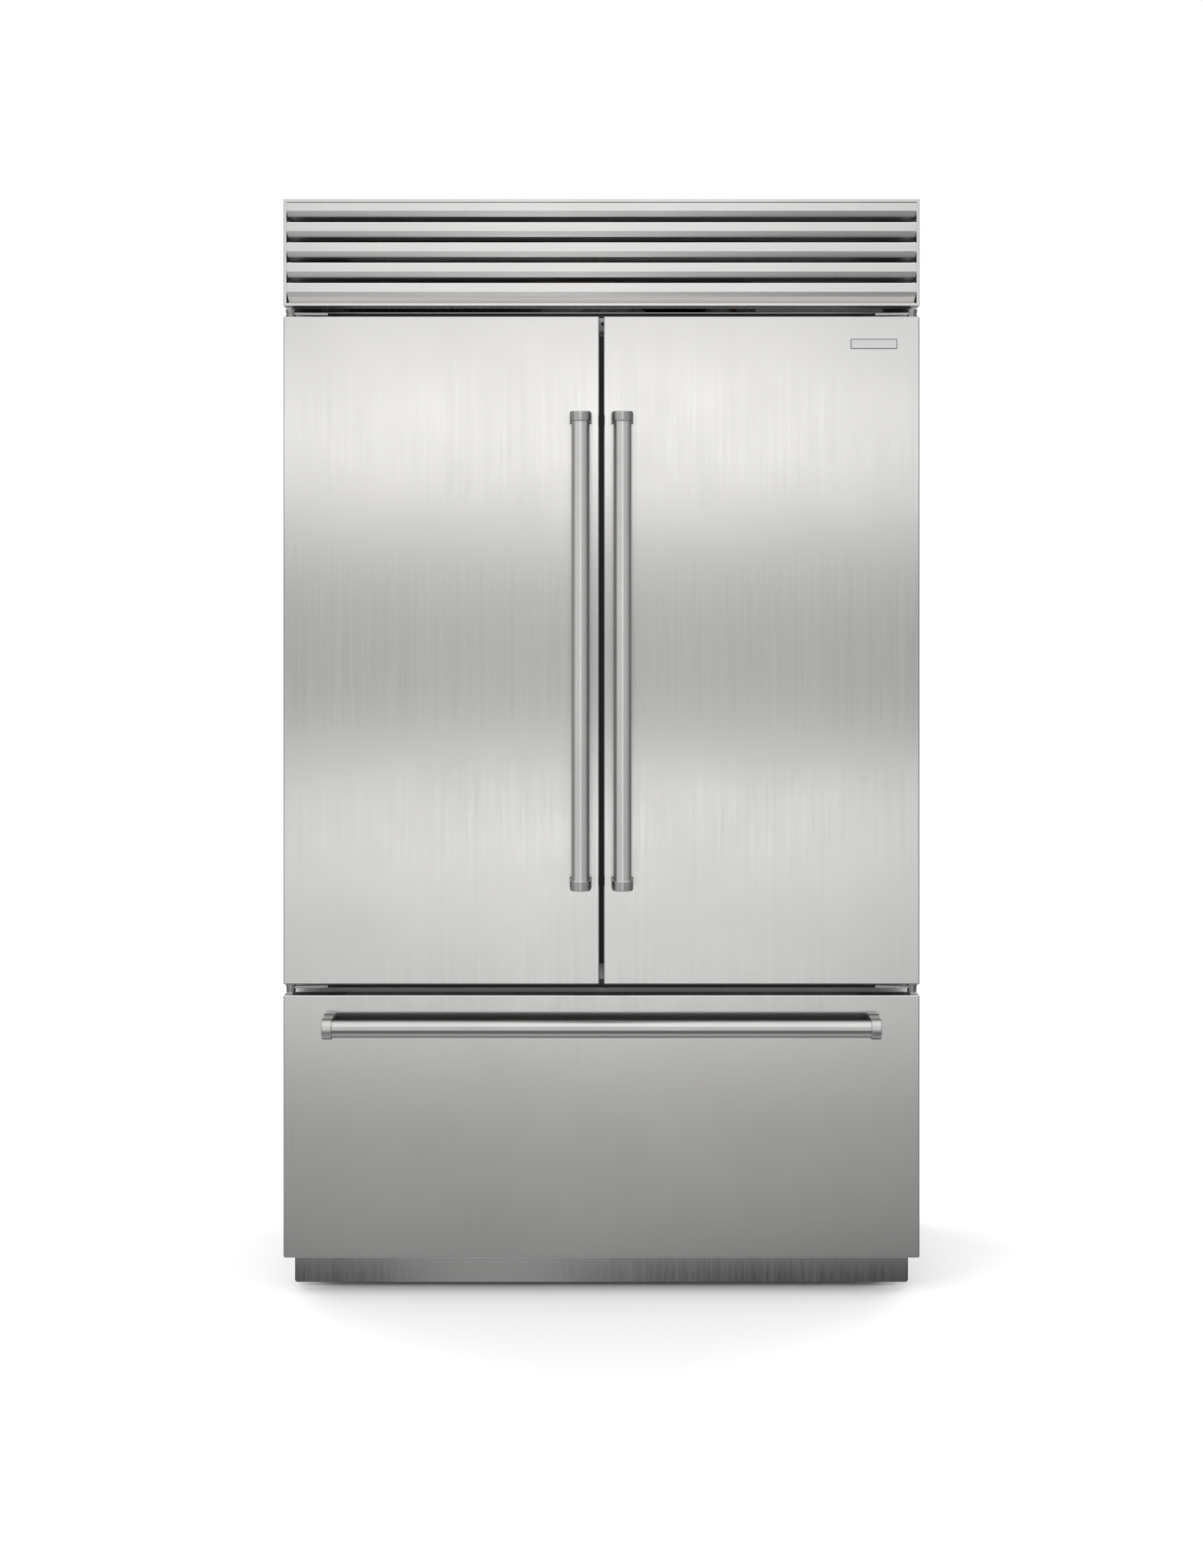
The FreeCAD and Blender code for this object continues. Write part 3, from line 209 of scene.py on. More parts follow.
SKIN_GIVES = [("Colour", "c"), ("Roughness", "f"), ("Normal", "v")]


def grain_group():
    """Brushed metal: fine and broad streaks in a stretched space tint, roughen and tilt the surface."""
    takes = [("Vector", "v", None), ("Colour", "c", (0.6, 0.6, 0.6, 1)), ("Fine", "f", 900),
             ("Broad", "f", 110), ("Contrast", "f", 0.1), ("Roughness", "f", 0.25), ("Spread", "f", 0.05),
             ("Depth", "f", 0.1)]
    tree, came, goes = new_group("Brushed grain", takes, SKIN_GIVES)
    fine = noise(tree, came["Vector"], came["Fine"], 3)
    broad = noise(tree, came["Vector"], came["Broad"], 3)
    both = sum_of(tree, "MULTIPLY_ADD", sum_of(tree, "ADD", fine, broad), 1.0, -1.0)
    tint = sum_of(tree, "MULTIPLY_ADD", both, came["Contrast"], 1.0)
    tree.links.new(scaled(tree, came["Colour"], tint), goes["Colour"])
    tree.links.new(sum_of(tree, "MULTIPLY_ADD", both, came["Spread"], came["Roughness"]), goes["Roughness"])
    feeds = {"Height": fine, "Strength": came["Depth"], "Distance": 0.0002}
    tree.links.new(add(tree, "ShaderNodeBump", feeds).outputs[0], goes["Normal"])
    return tree


def handling_group():
    """Soft blotches where hands and cloths have passed: they raise the roughness and dull the tint."""
    takes = [("Vector", "v", None), ("Colour", "c", (0.6, 0.6, 0.6, 1)), ("Roughness", "f", 0.3),
             ("Size", "f", 6), ("Amount", "f", 0.03)]
    tree, came, goes = new_group("Handling marks", takes, [("Colour", "c"), ("Roughness", "f")])
    blotch = noise(tree, came["Vector"], came["Size"], 4)
    rub = sum_of(tree, "MULTIPLY", sum_of(tree, "SUBTRACT", blotch, 0.5), came["Amount"])
    tree.links.new(sum_of(tree, "ADD", came["Roughness"], rub), goes["Roughness"])
    tree.links.new(scaled(tree, came["Colour"], sum_of(tree, "SUBTRACT", 1.0, rub)), goes["Colour"])
    return tree


def moulding_group():
    """Moulded or painted skin: an even orange peel with faint flow marks in tint and gloss."""
    takes = [("Vector", "v", None), ("Colour", "c", (0.5, 0.5, 0.5, 1)), ("Roughness", "f", 0.4),
             ("Scale", "f", 700), ("Depth", "f", 0.1), ("Variation", "f", 0.04)]
    tree, came, goes = new_group("Moulded skin", takes, SKIN_GIVES)
    peel = noise(tree, came["Vector"], came["Scale"], 2)
    flow = sum_of(tree, "SUBTRACT", noise(tree, came["Vector"], 9, 3), 0.5)
    change = sum_of(tree, "MULTIPLY", flow, came["Variation"])
    tree.links.new(scaled(tree, came["Colour"], sum_of(tree, "SUBTRACT", 1.0, change)), goes["Colour"])
    tree.links.new(sum_of(tree, "ADD", came["Roughness"], change), goes["Roughness"])
    feeds = {"Height": peel, "Strength": came["Depth"], "Distance": 0.0003}
    tree.links.new(add(tree, "ShaderNodeBump", feeds).outputs[0], goes["Normal"])
    return tree


def spangle_group():
    """Hot dip zinc: each crystal of a cell pattern has its own tint and gloss, with a faint rolled haze."""
    takes = [("Vector", "v", None), ("Colour", "c", (0.5, 0.5, 0.5, 1)), ("Roughness", "f", 0.4),
             ("Scale", "f", 90), ("Contrast", "f", 0.2)]
    tree, came, goes = new_group("Zinc spangle", takes, SKIN_GIVES)
    cells = add(tree, "ShaderNodeTexVoronoi", {"Vector": came["Vector"], "Scale": came["Scale"]})
    value = add(tree, "ShaderNodeSeparateColor", {0: cells.outputs["Color"]}).outputs[0]
    haze = noise(tree, came["Vector"], 5, 3)
    mixed = sum_of(tree, "MULTIPLY_ADD", haze, 0.6, sum_of(tree, "SUBTRACT", value, 0.8))
    tint = sum_of(tree, "MULTIPLY_ADD", mixed, came["Contrast"], 1.0)
    tree.links.new(scaled(tree, came["Colour"], tint), goes["Colour"])
    gloss = sum_of(tree, "MULTIPLY_ADD", mixed, came["Contrast"], came["Roughness"])
    tree.links.new(gloss, goes["Roughness"])
    feeds = {"Height": value, "Strength": 0.15, "Distance": 0.0004}
    tree.links.new(add(tree, "ShaderNodeBump", feeds).outputs[0], goes["Normal"])
    return tree


GROUP_MAKERS = {"Brushed grain": grain_group, "Handling marks": handling_group,
                "Moulded skin": moulding_group, "Zinc spangle": spangle_group}


def effect(tree, name, feeds):
    """Places a shared effect in a material; it is built the first time it is asked for."""
    group = bpy.data.node_groups.get(name) or GROUP_MAKERS[name]()
    return add(tree, "ShaderNodeGroup", feeds, node_tree=group).outputs


def blank_material(slot, constants):
    """A material with one Principled shader, and the place on the object that its patterns read."""
    material = bpy.data.materials.new(slot)
    material.use_nodes = True
    tree = material.node_tree
    tree.nodes.clear()
    shader = add(tree, "ShaderNodeBsdfPrincipled", constants)
    add(tree, "ShaderNodeOutputMaterial", {"Surface": shader.outputs[0]})
    place = add(tree, "ShaderNodeTexCoord").outputs["Object"]
    FINISH[slot] = material
    return tree, shader.inputs, place


def link_finish(tree, into, tint, roughness, normal):
    """Feeds a material's colour, roughness and normal from its effects."""
    tree.links.new(tint, into["Base Color"])
    tree.links.new(roughness, into["Roughness"])
    tree.links.new(normal, into["Normal"])


def brushed(slot, shade, roughness, anisotropy, stretch, contrast=0.1, depth=0.5, marks=0.05, turn=0.0,
            painted_back_shade=None):
    """Brushed metal whose streaks are drawn out along the axis that stretch makes small; turn, in whole
    turns, turns the smear of its gloss. The last argument, where it is given, is two depths in Y and a
    factor: between those depths the colour darkens to that factor towards the back, painted shade for the
    dark back of a bar."""
    constants = {"Metallic": 1.0, "Anisotropic": anisotropy, "Anisotropic Rotation": turn}
    tree, into, place = blank_material(slot, constants)
    along = add(tree, "ShaderNodeMapping", {"Vector": place, "Scale": stretch}).outputs[0]
    feeds = {"Vector": along, "Colour": (*shade, 1), "Contrast": contrast, "Roughness": roughness,
             "Spread": 0.08, "Depth": depth * 0.2}
    grain = effect(tree, "Brushed grain", feeds)
    feeds = {"Vector": place, "Colour": grain["Colour"], "Roughness": grain["Roughness"], "Amount": marks}
    worn = effect(tree, "Handling marks", feeds)
    tint = worn["Colour"]
    # painted shade: the colour is darkened towards the back of the bar in Y
    if painted_back_shade:
        depth_y = add(tree, "ShaderNodeSeparateXYZ", {0: place}).outputs["Y"]
        fade = {"Value": depth_y, "From Min": painted_back_shade[0], "From Max": painted_back_shade[1], "To Min": 1.0,
                "To Max": painted_back_shade[2]}
        tint = scaled(tree, tint, add(tree, "ShaderNodeMapRange", fade).outputs[0])
    link_finish(tree, into, tint, worn["Roughness"], grain["Normal"])


def moulded(slot, shade, roughness, peel=700, depth=0.1, variation=0.06, **constants):
    """Plastic, rubber or paint with a moulded skin."""
    constants = {key.replace("_", " "): value for key, value in constants.items()}
    tree, into, place = blank_material(slot, constants)
    feeds = {"Vector": place, "Colour": (*shade, 1), "Roughness": roughness, "Scale": peel, "Depth": depth,
             "Variation": variation}
    skin = effect(tree, "Moulded skin", feeds)
    link_finish(tree, into, skin["Colour"], skin["Roughness"], skin["Normal"])


def zinc(slot, shade, roughness, scale, contrast):
    """Zinc coated sheet."""
    tree, into, place = blank_material(slot, {"Metallic": 0.6})
    feeds = {"Vector": place, "Colour": (*shade, 1), "Roughness": roughness, "Scale": scale,
             "Contrast": contrast}
    cover = effect(tree, "Zinc spangle", feeds)
    feeds = {"Vector": place, "Colour": cover["Colour"], "Roughness": cover["Roughness"], "Amount": 0.15,
             "Size": 4}
    worn = effect(tree, "Handling marks", feeds)
    link_finish(tree, into, worn["Colour"], worn["Roughness"], cover["Normal"])


def clear(slot, shade, roughness, transmission):
    """Clear moulding or glass: it lets light through, and faint flow marks change its gloss."""
    tree, into, place = blank_material(slot, {"Transmission Weight": transmission, "IOR": 1.49})
    feeds = {"Vector": place, "Colour": (*shade, 1), "Roughness": roughness, "Scale": 60, "Depth": 0.03,
             "Variation": 0.05}
    skin = effect(tree, "Moulded skin", feeds)
    link_finish(tree, into, skin["Colour"], skin["Roughness"], skin["Normal"])


def coat(node, finish):
    """Gives one CAD node's object a finish."""
    node.data.materials.clear()
    node.data.materials.append(FINISH[finish])


def dress(slots):
    """Gives every CAD node whose record slot is among these its finish."""
    for part in frame["record"]["subparts"]:
        node = frame["nodes"].get(part["node"])
        if node is not None and part["material_slot"] in slots:
            coat(node, part["material_slot"])


# ---- surfaces --------------------------------------------------------------------------------
def piece(name, points, faces, body, slot, smooth=True, finish=None):
    """Puts points and faces into a mesh object that rides on a body and takes a slot's finish."""
    mesh = bpy.data.meshes.new(name)
    mesh.from_pydata(np.asarray(points, float).tolist(), [], [[int(i) for i in face] for face in faces])
    mesh.validate()
    mesh.polygons.foreach_set("use_smooth", np.full(len(mesh.polygons), smooth))
    mesh.materials.append(FINISH[finish or slot])
    made = bpy.data.objects.new(name, mesh)
    bpy.context.scene.collection.objects.link(made)
    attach(made, body)
    return made


def grid_faces(rows, columns, round_rows=False, round_columns=False):
    """Quads of a grid of rows by columns points; a round direction joins its last line to its first."""
    i = np.arange(rows if round_rows else rows - 1)[:, None]
    j = np.arange(columns if round_columns else columns - 1)[None, :]
    i2, j2 = (i + 1) % rows, (j + 1) % columns
    corners = [i * columns + j, i * columns + j2, i2 * columns + j2, i2 * columns + j]
    return np.stack([np.broadcast_to(c, (i.shape[0], j.shape[1])) for c in corners], -1).reshape(-1, 4)


def capped_faces(rows, sides):
    """Quads of rows of points round a tube, and a flat polygon over each of its ends."""
    last = (rows - 1) * sides
    ends = [list(range(sides))[::-1], [last + k for k in range(sides)]]
    return grid_faces(rows, sides, round_columns=True).tolist() + ends


def turned(profile, sides, ripple=None):
    """A profile of (radius, height) pairs turned about Z, closed at both ends by a flat polygon: each
    point is radius times (cos, sin) of the turn, at its height. ripple, a factor for each side, changes
    the radius round the turn, as on a hexagon head."""
    profile = np.asarray(profile, float)
    turn = np.arange(sides) * 2 * np.pi / sides
    radius = profile[:, :1] * (1 if ripple is None else ripple[None, :])
    height = np.broadcast_to(profile[:, 1:], (len(profile), sides))
    points = np.stack([radius * np.cos(turn), radius * np.sin(turn), height], -1).reshape(-1, 3)
    return points, capped_faces(len(profile), sides)


def turned_to(points, axis):
    """Turns points so that their Z looks along the axis: the other two columns are swapped round in order."""
    order = {"+x": ((2, 0, 1), (1, 1, 1)), "-x": ((2, 1, 0), (-1, 1, 1)), "+y": ((1, 2, 0), (1, 1, 1)),
             "-y": ((0, 2, 1), (1, -1, 1))}[axis]
    return np.asarray(points)[:, order[0]] * order[1]


def repeated(points, faces, places):
    """The same small shape set down at each place, as one array of points and one list of faces."""
    points, places = np.asarray(points, float), np.asarray(places, float)
    every = (points[None] + places[:, None]).reshape(-1, 3)
    stacked = [[index + k * len(points) for index in face] for k in range(len(places)) for face in faces]
    return every, stacked


def frame_path(low, high, y, inset, depth):
    """A closed loop round a rectangle in X and Z: each profile point, an inset and a depth, follows the
    rectangle inset by that much, with two lines near each mitre."""
    cx, cz = (low[0] + high[0]) / 2, (low[1] + high[1]) / 2
    hx, hz = (high[0] - low[0]) / 2, (high[1] - low[1]) / 2
    near = 0.0015
    lines = []
    for sx, sz, ax, az in ((1, -1, -1, 0), (1, -1, 0, 0), (1, -1, 0, 1), (1, 1, 0, -1), (1, 1, 0, 0),
                           (1, 1, -1, 0), (-1, 1, 1, 0), (-1, 1, 0, 0), (-1, 1, 0, -1), (-1, -1, 0, 1),
                           (-1, -1, 0, 0), (-1, -1, 1, 0)):
        x = cx + sx * (hx - inset) + ax * near
        z = cz + sz * (hz - inset) + az * near
        lines.append(np.stack([x, np.full_like(x, y) + depth, z], -1))
    return np.stack(lines)


def tube(path, radius, sides=12):
    """A round tube along a path of points: each ring is the circle in the plane across the path there,
    and flat polygons close the ends."""
    path = np.asarray(path, float)
    tangent = np.gradient(path, axis=0)
    tangent /= np.linalg.norm(tangent, axis=1)[:, None]
    side = np.cross(tangent, np.array([0.31, 0.17, 0.93]))
    side /= np.linalg.norm(side, axis=1)[:, None]
    up = np.cross(tangent, side)
    turn = np.arange(sides) * 2 * np.pi / sides
    across = np.cos(turn)[None, :, None] * side[:, None] + np.sin(turn)[None, :, None] * up[:, None]
    rings = path[:, None] + radius * across
    return rings.reshape(-1, 3), capped_faces(len(path), sides)


def guard(radius, wire):
    """A round wire guard facing -Y: five rings of wire, each a circle turned about a larger circle, and
    six straight wires from the smallest ring outwards."""
    long_way, short_way, spokes = 48, 8, 6
    major = np.arange(long_way) * 2 * np.pi / long_way
    minor = np.arange(short_way) * 2 * np.pi / short_way
    points, faces = [], []
    for reach in radius * np.array([0.3, 0.48, 0.65, 0.82, 1.0]):
        out = reach + wire * np.cos(minor)[None]
        lift = np.broadcast_to(wire * np.sin(minor), (long_way, short_way))
        ring = np.stack([out * np.cos(major)[:, None], lift, out * np.sin(major)[:, None]], -1)
        quads = grid_faces(long_way, short_way, round_rows=True, round_columns=True)
        faces += (quads + long_way * short_way * len(points)).tolist()
        points.append(ring.reshape(-1, 3))
    start = long_way * short_way * len(points)
    for k in range(spokes):
        way = np.array([math.cos(k * math.pi / 3), 0, math.sin(k * math.pi / 3)])
        spoke, sides = tube(np.linspace(0.3, 1.0, 4)[:, None] * radius * way, wire, short_way)
        faces += [[index + start for index in face] for face in sides]
        points.append(spoke)
        start += len(spoke)
    return np.concatenate(points), faces


def bent(corners, radius, steps=6):
    """A path with rounded corners: near each corner the points follow the parabola that touches both runs."""
    corners = np.asarray(corners, float)
    path = [corners[:1]]
    s = np.linspace(0, 1, steps)[:, None]
    for before, corner, after in zip(corners[:-2], corners[1:-1], corners[2:]):
        start = corner + (before - corner) * min(0.5, radius / np.linalg.norm(before - corner))
        end = corner + (after - corner) * min(0.5, radius / np.linalg.norm(after - corner))
        path.append((1 - s) ** 2 * start + 2 * s * (1 - s) * corner + s ** 2 * end)
    return np.concatenate([*path, corners[-1:]])


# ---- operators -------------------------------------------------------------------------------
class FRIDGE_OT_steel(bpy.types.Operator):
    """Brushed steel for the fronts, handles, grille and kickplate."""

    bl_idname = "fridge.steel"
    bl_label = "Brushed Steel"

    def execute(self, context):
        s = context.scene.fridge_steel
        upright, level = (1, 1, 0.012), (0.012, 1, 1)
        brushed("steel_brushed", s.front_colour, s.front_roughness, 0.8, upright, 0.06, s.grain)
        brushed("steel_louvre", s.louvre_colour, 0.2, 0.5, level, 0.08, s.grain)
        low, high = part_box("left_door_handle_bar")
        middle = (low.y + high.y) / 2
        # painted shade: depths in Y behind which the handle bars, ferrules and drawer bar turn darker, and
        # how dark
        painted_back_shade, bar_painted_back_shade = (middle - 13 * MM, middle - 5 * MM, 0.4), (middle - 10 * MM, middle - 2 * MM, 0.1)
        brushed("steel_handle", s.handle_colour, 0.33, 0.9, upright, 0.06, s.grain, 0.1, turn=0.25, painted_back_shade=painted_back_shade)
        brushed("steel_bar", s.bar_colour, 0.33, 0.9, level, 0.06, s.grain, 0.1, painted_back_shade=bar_painted_back_shade)
        brushed("steel_bracket", s.bracket_colour, 0.3, 0.8, upright, 0.1, s.grain, 0.1, turn=0.25, painted_back_shade=painted_back_shade)
        brushed("hinge_steel", (0.36, 0.357, 0.352), 0.2, 0.0, upright, 0.1, s.grain, 0.1)
        # near-black steel: on the front rails and centre post it is painted shade for the gaps between the
        # fronts; round the blank plate it is a dark joint
        brushed("rail_dark", (0.05, 0.05, 0.05), 0.3, 0.4, level, 0.1, 0.3)
        brushed("kick_steel", s.kick_colour, 0.07, 0.0, (1, 1, 0.03), 0.06, s.grain * 0.4, 0.02)
        brushed("badge_metal", (0.74, 0.74, 0.75), 0.3, 0.2, level, 0.05, 0.3)
        brushed("trim_aluminium", (0.78, 0.785, 0.79), 0.32, 0.3, level, 0.06, 0.3)
        dress({"steel_brushed", "steel_louvre", "steel_handle", "steel_bracket", "kick_steel",
               "badge_metal", "trim_aluminium"})
        # front rails and centre post take the near-black finish: painted shade in the gaps between the fronts
        for node, finish in (("drawer_handle_bar", "steel_bar"), ("front_rails", "rail_dark"),
                             ("centre_post", "rail_dark"), ("hinges", "hinge_steel")):
            coat(frame["nodes"][node], finish)
        return {"FINISHED"}


class FRIDGE_OT_sheet(bpy.types.Operator):
    """Zinc, painted and machined metal of the casing and the machine compartment."""

    bl_idname = "fridge.sheet"
    bl_label = "Sheet Metal"

    def execute(self, context):
        c = context.scene.fridge_casing
        zinc("galvanised", c.zinc_colour, 0.42, 70, 0.22)
        zinc("zinc_steel", (0.62, 0.63, 0.64), 0.3, 420, 0.12)
        moulded("chassis_black", c.chassis_colour, 0.38, 900, 0.2, 0.12)
        moulded("coil_black", (0.014, 0.014, 0.015), 0.45, 900, 0.15)
        moulded("machine_black", (0.012, 0.012, 0.013), 0.22, 400, 0.05, 0.1, Coat_Weight=0.4)
        brushed("brass_fitting", (0.78, 0.58, 0.28), 0.25, 0.0, (1, 0.05, 1), 0.12, 0.4, 0.15)
        brushed("coil_metal", (0.7, 0.71, 0.72), 0.34, 0.0, (0.05, 1, 1), 0.12, 0.3, 0.1)
        brushed("copper", c.copper_colour, 0.28, 0.0, (1, 1, 1), 0.1, 0.2, 0.2)
        dress({"galvanised", "zinc_steel", "chassis_black", "machine_black", "brass_fitting",
               "coil_metal"})
        coat(frame["nodes"]["condenser_coil"], "coil_black")
        return {"FINISHED"}


class FRIDGE_OT_mouldings(bpy.types.Operator):
    """Liner, rubber, moulded and clear parts."""

    bl_idname = "fridge.mouldings"
    bl_label = "Mouldings"

    def execute(self, context):
        c = context.scene.fridge_casing
        moulded("liner_white", c.liner_colour, 0.3, 350, 0.04, 0.05)
        moulded("guide_white", (0.8, 0.8, 0.79), 0.42, 600, 0.06)
        moulded("gasket_grey", c.gasket_colour, 0.55, 900, 0.12)
        moulded("rubber_black", (0.012, 0.012, 0.012), 0.6, 900, 0.2)
        moulded("fan_black", (0.02, 0.02, 0.022), 0.42, 800, 0.12)
        moulded("control_grey", (0.16, 0.165, 0.175), 0.45, 800, 0.2)
        moulded("lamp_lens", (0.92, 0.93, 0.92), 0.5, 500, 0.1, 0.02,
                Emission_Color=(1, 0.97, 0.92, 1), Emission_Strength=0.35)
        clear("clear_bin", (0.93, 0.96, 0.965), 0.06, 0.9)
        clear("shelf_glass", (0.86, 0.95, 0.92), 0.03, 0.92)
        dress({"liner_white", "guide_white", "gasket_grey", "rubber_black", "fan_black", "control_grey",
               "lamp_lens", "clear_bin", "shelf_glass"})
        return {"FINISHED"}


class FRIDGE_OT_gaskets(bpy.types.Operator):
    """Folded magnetic gaskets round the back of each front."""

    bl_idname = "fridge.gaskets"
    bl_label = "Gaskets"

    def execute(self, context):
        fold = context.scene.fridge_sizes.gasket_fold
        for node, body in (("left_door_gasket", "left_door"), ("right_door_gasket", "right_door"),
                           ("drawer_gasket", "freezer_drawer")):
            low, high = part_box(node)
            thick = high.y - low.y
            width = 16 * MM
            t = np.linspace(0, 1, 9)
            sway = fold * np.sin(t * 2 * np.pi) ** 2
            outer = np.stack([sway, t * thick * 0.8], -1)
            crown = np.array([[0.12, 0.9], [0.3, 0.985], [0.5, 1.0], [0.7, 0.985], [0.88, 0.9]])
            inner = (np.array([width, 0]) - outer * (1, -1))[::-1]
            profile = np.concatenate([outer, crown * (width, thick), inner])
            lines = frame_path((low.x, low.z), (high.x, high.z), low.y, profile[:, 0], profile[:, 1])
            faces = grid_faces(len(lines), len(profile), round_rows=True, round_columns=True)
            made = piece(node + "_folds", lines.reshape(-1, 3), faces, body, "gasket_grey")
            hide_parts(node)
        return {"FINISHED"}


class FRIDGE_OT_bumper(bpy.types.Operator):
    """Rubber bumper on the white guide at the top of the gap between the doors."""

    bl_idname = "fridge.bumper"
    bl_label = "Bumper"

    def execute(self, context):
        radius = context.scene.fridge_sizes.bumper_radius
        low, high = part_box("post_guide")
        a = np.linspace(0.1, np.pi / 2, 6)[::-1]
        dome = np.stack([radius * np.sin(a), radius * 0.6 * np.cos(a) + 0.0008], -1)
        points, faces = turned([(radius, 0), *dome], 24)
        points = turned_to(points, "-y") + (0.0022, low.y + 0.0003, low.z + 0.015)
        piece("guide_bumper", points, faces, "cabinet", "rubber_black")
        return {"FINISHED"}


class FRIDGE_OT_trims(bpy.types.Operator):
    """Bright rolled edge along the rail over the doors, and the dark joint round the blank plate."""

    bl_idname = "fridge.trims"
    bl_label = "Trims"

    def execute(self, context):
        low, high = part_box("front_rails")
        radius = 1.1 * MM
        x = np.linspace(low.x + 0.002, high.x - 0.002, 9)
        path = np.column_stack([x, np.full(9, low.y - radius * 0.2), np.full(9, high.z - 0.0018)])
        piece("rail_edge", *tube(path, radius, 14), "cabinet", "trim_aluminium")
        low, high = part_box("badge_plate")
        a = np.linspace(0, np.pi, 5)
        wide, proud = 0.55 * MM, 0.25 * MM
        inset = np.concatenate([[0.0001], 0.0001 + wide * (1 - np.cos(a)), [0.0001 + 2 * wide]])
        depth = np.concatenate([[0.0002], -proud * np.sin(a) ** 0.6, [0.0002]])
        lines = frame_path((low.x, low.z), (high.x, high.z), low.y, inset, depth)
        faces = grid_faces(len(lines), len(inset), round_rows=True, round_columns=True)[:, ::-1]
        piece("badge_border", lines.reshape(-1, 3), faces, "right_door", "badge_metal", finish="rail_dark")
        return {"FINISHED"}


class FRIDGE_OT_fittings(bpy.types.Operator):
    """Rails on the door bins and crispers, and guards over the two evaporator fans."""

    bl_idname = "fridge.fittings"
    bl_label = "Interior Fittings"

    def execute(self, context):
        r = context.scene.fridge_sizes.bin_rail
        for side in ("left", "right"):
            low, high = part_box(side + "_door_bins")
            x = np.linspace(low.x + 0.012, high.x - 0.012, 7)
            levels = np.linspace(low.z + BIN_HEIGHT, high.z, BIN_COUNT)
            rail = np.column_stack([x, np.full(7, high.y - r * 0.4), np.zeros(7)])
            rails = repeated(*tube(rail, r, 14), [(0, 0, z - 0.007) for z in levels])
            piece(side + "_bin_rails", *rails, side + "_door", "trim_aluminium")
            low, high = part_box("crisper_" + side)
            x = np.linspace(low.x + 0.024, high.x - 0.024, 7)
            rail = np.column_stack([x, np.full(7, low.y + r * 0.4), np.full(7, high.z - 0.026)])
            piece(side + "_crisper_rail", *tube(rail, r, 14), side + "_crisper", "trim_aluminium")
        for name, cover in (("refrigerator_fan", "fridge_duct"), ("freezer_fan", "freezer_cover")):
            low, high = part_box(name)
            centre = ((low.x + high.x) / 2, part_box(cover)[0].y - 0.0012, (low.z + high.z) / 2)
            points, faces = guard((high.x - low.x) / 2 + 0.006, 1.1 * MM)
            piece(name + "_guard", points + centre, faces, "cabinet", "fan_black")
        return {"FINISHED"}


class FRIDGE_OT_screws(bpy.types.Operator):
    """Hexagon sheet screws along the seams of the casing and the service bulkhead."""

    bl_idname = "fridge.screws"
    bl_label = "Screws"

    def execute(self, context):
        s = context.scene.fridge_sizes
        r, pitch = s.screw_radius, s.screw_pitch
        sides = 24
        turn = np.arange(sides) * 2 * np.pi / sides
        hexagon = 1 / np.cos((turn + np.pi / 6) % (np.pi / 3) - np.pi / 6)
        flange = turned([(r * 1.65, 0), (r * 1.65, 0.0004), (r * 1.2, 0.001)], sides)[0]
        head = turned([(r * 0.98, 0.001), (r, 0.0012), (r, 0.0030), (r * 0.9, 0.0036), (r * 0.45, 0.0037),
                       (r * 0.4, 0.0033)], sides, hexagon / 1.08)[0]
        shape = np.concatenate([flange, head])
        faces = capped_faces(len(shape) // sides, sides)
        low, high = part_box("side_panels")
        z = np.arange(low.z + 0.06, high.z - 0.05, pitch)
        for name, axis, x in (("left_side_screws", "-x", low.x), ("right_side_screws", "+x", high.x)):
            places = np.array([(x, y, level) for y in (low.y + 0.04, high.y - 0.03) for level in z])
            piece(name, *repeated(turned_to(shape, axis), faces, places), "cabinet", "zinc_steel")
        deck_low, deck_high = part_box("machine_deck")
        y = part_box("top_panel")[1].y
        x = np.arange(deck_low.x + 0.03, deck_high.x, pitch)
        places = np.array([(v, y, z) for z in (deck_high.z - 0.02, deck_low.z + 0.02) for v in x])
        piece("bulkhead_screws", *repeated(turned_to(shape, "+y"), faces, places), "cabinet", "zinc_steel")
        return {"FINISHED"}


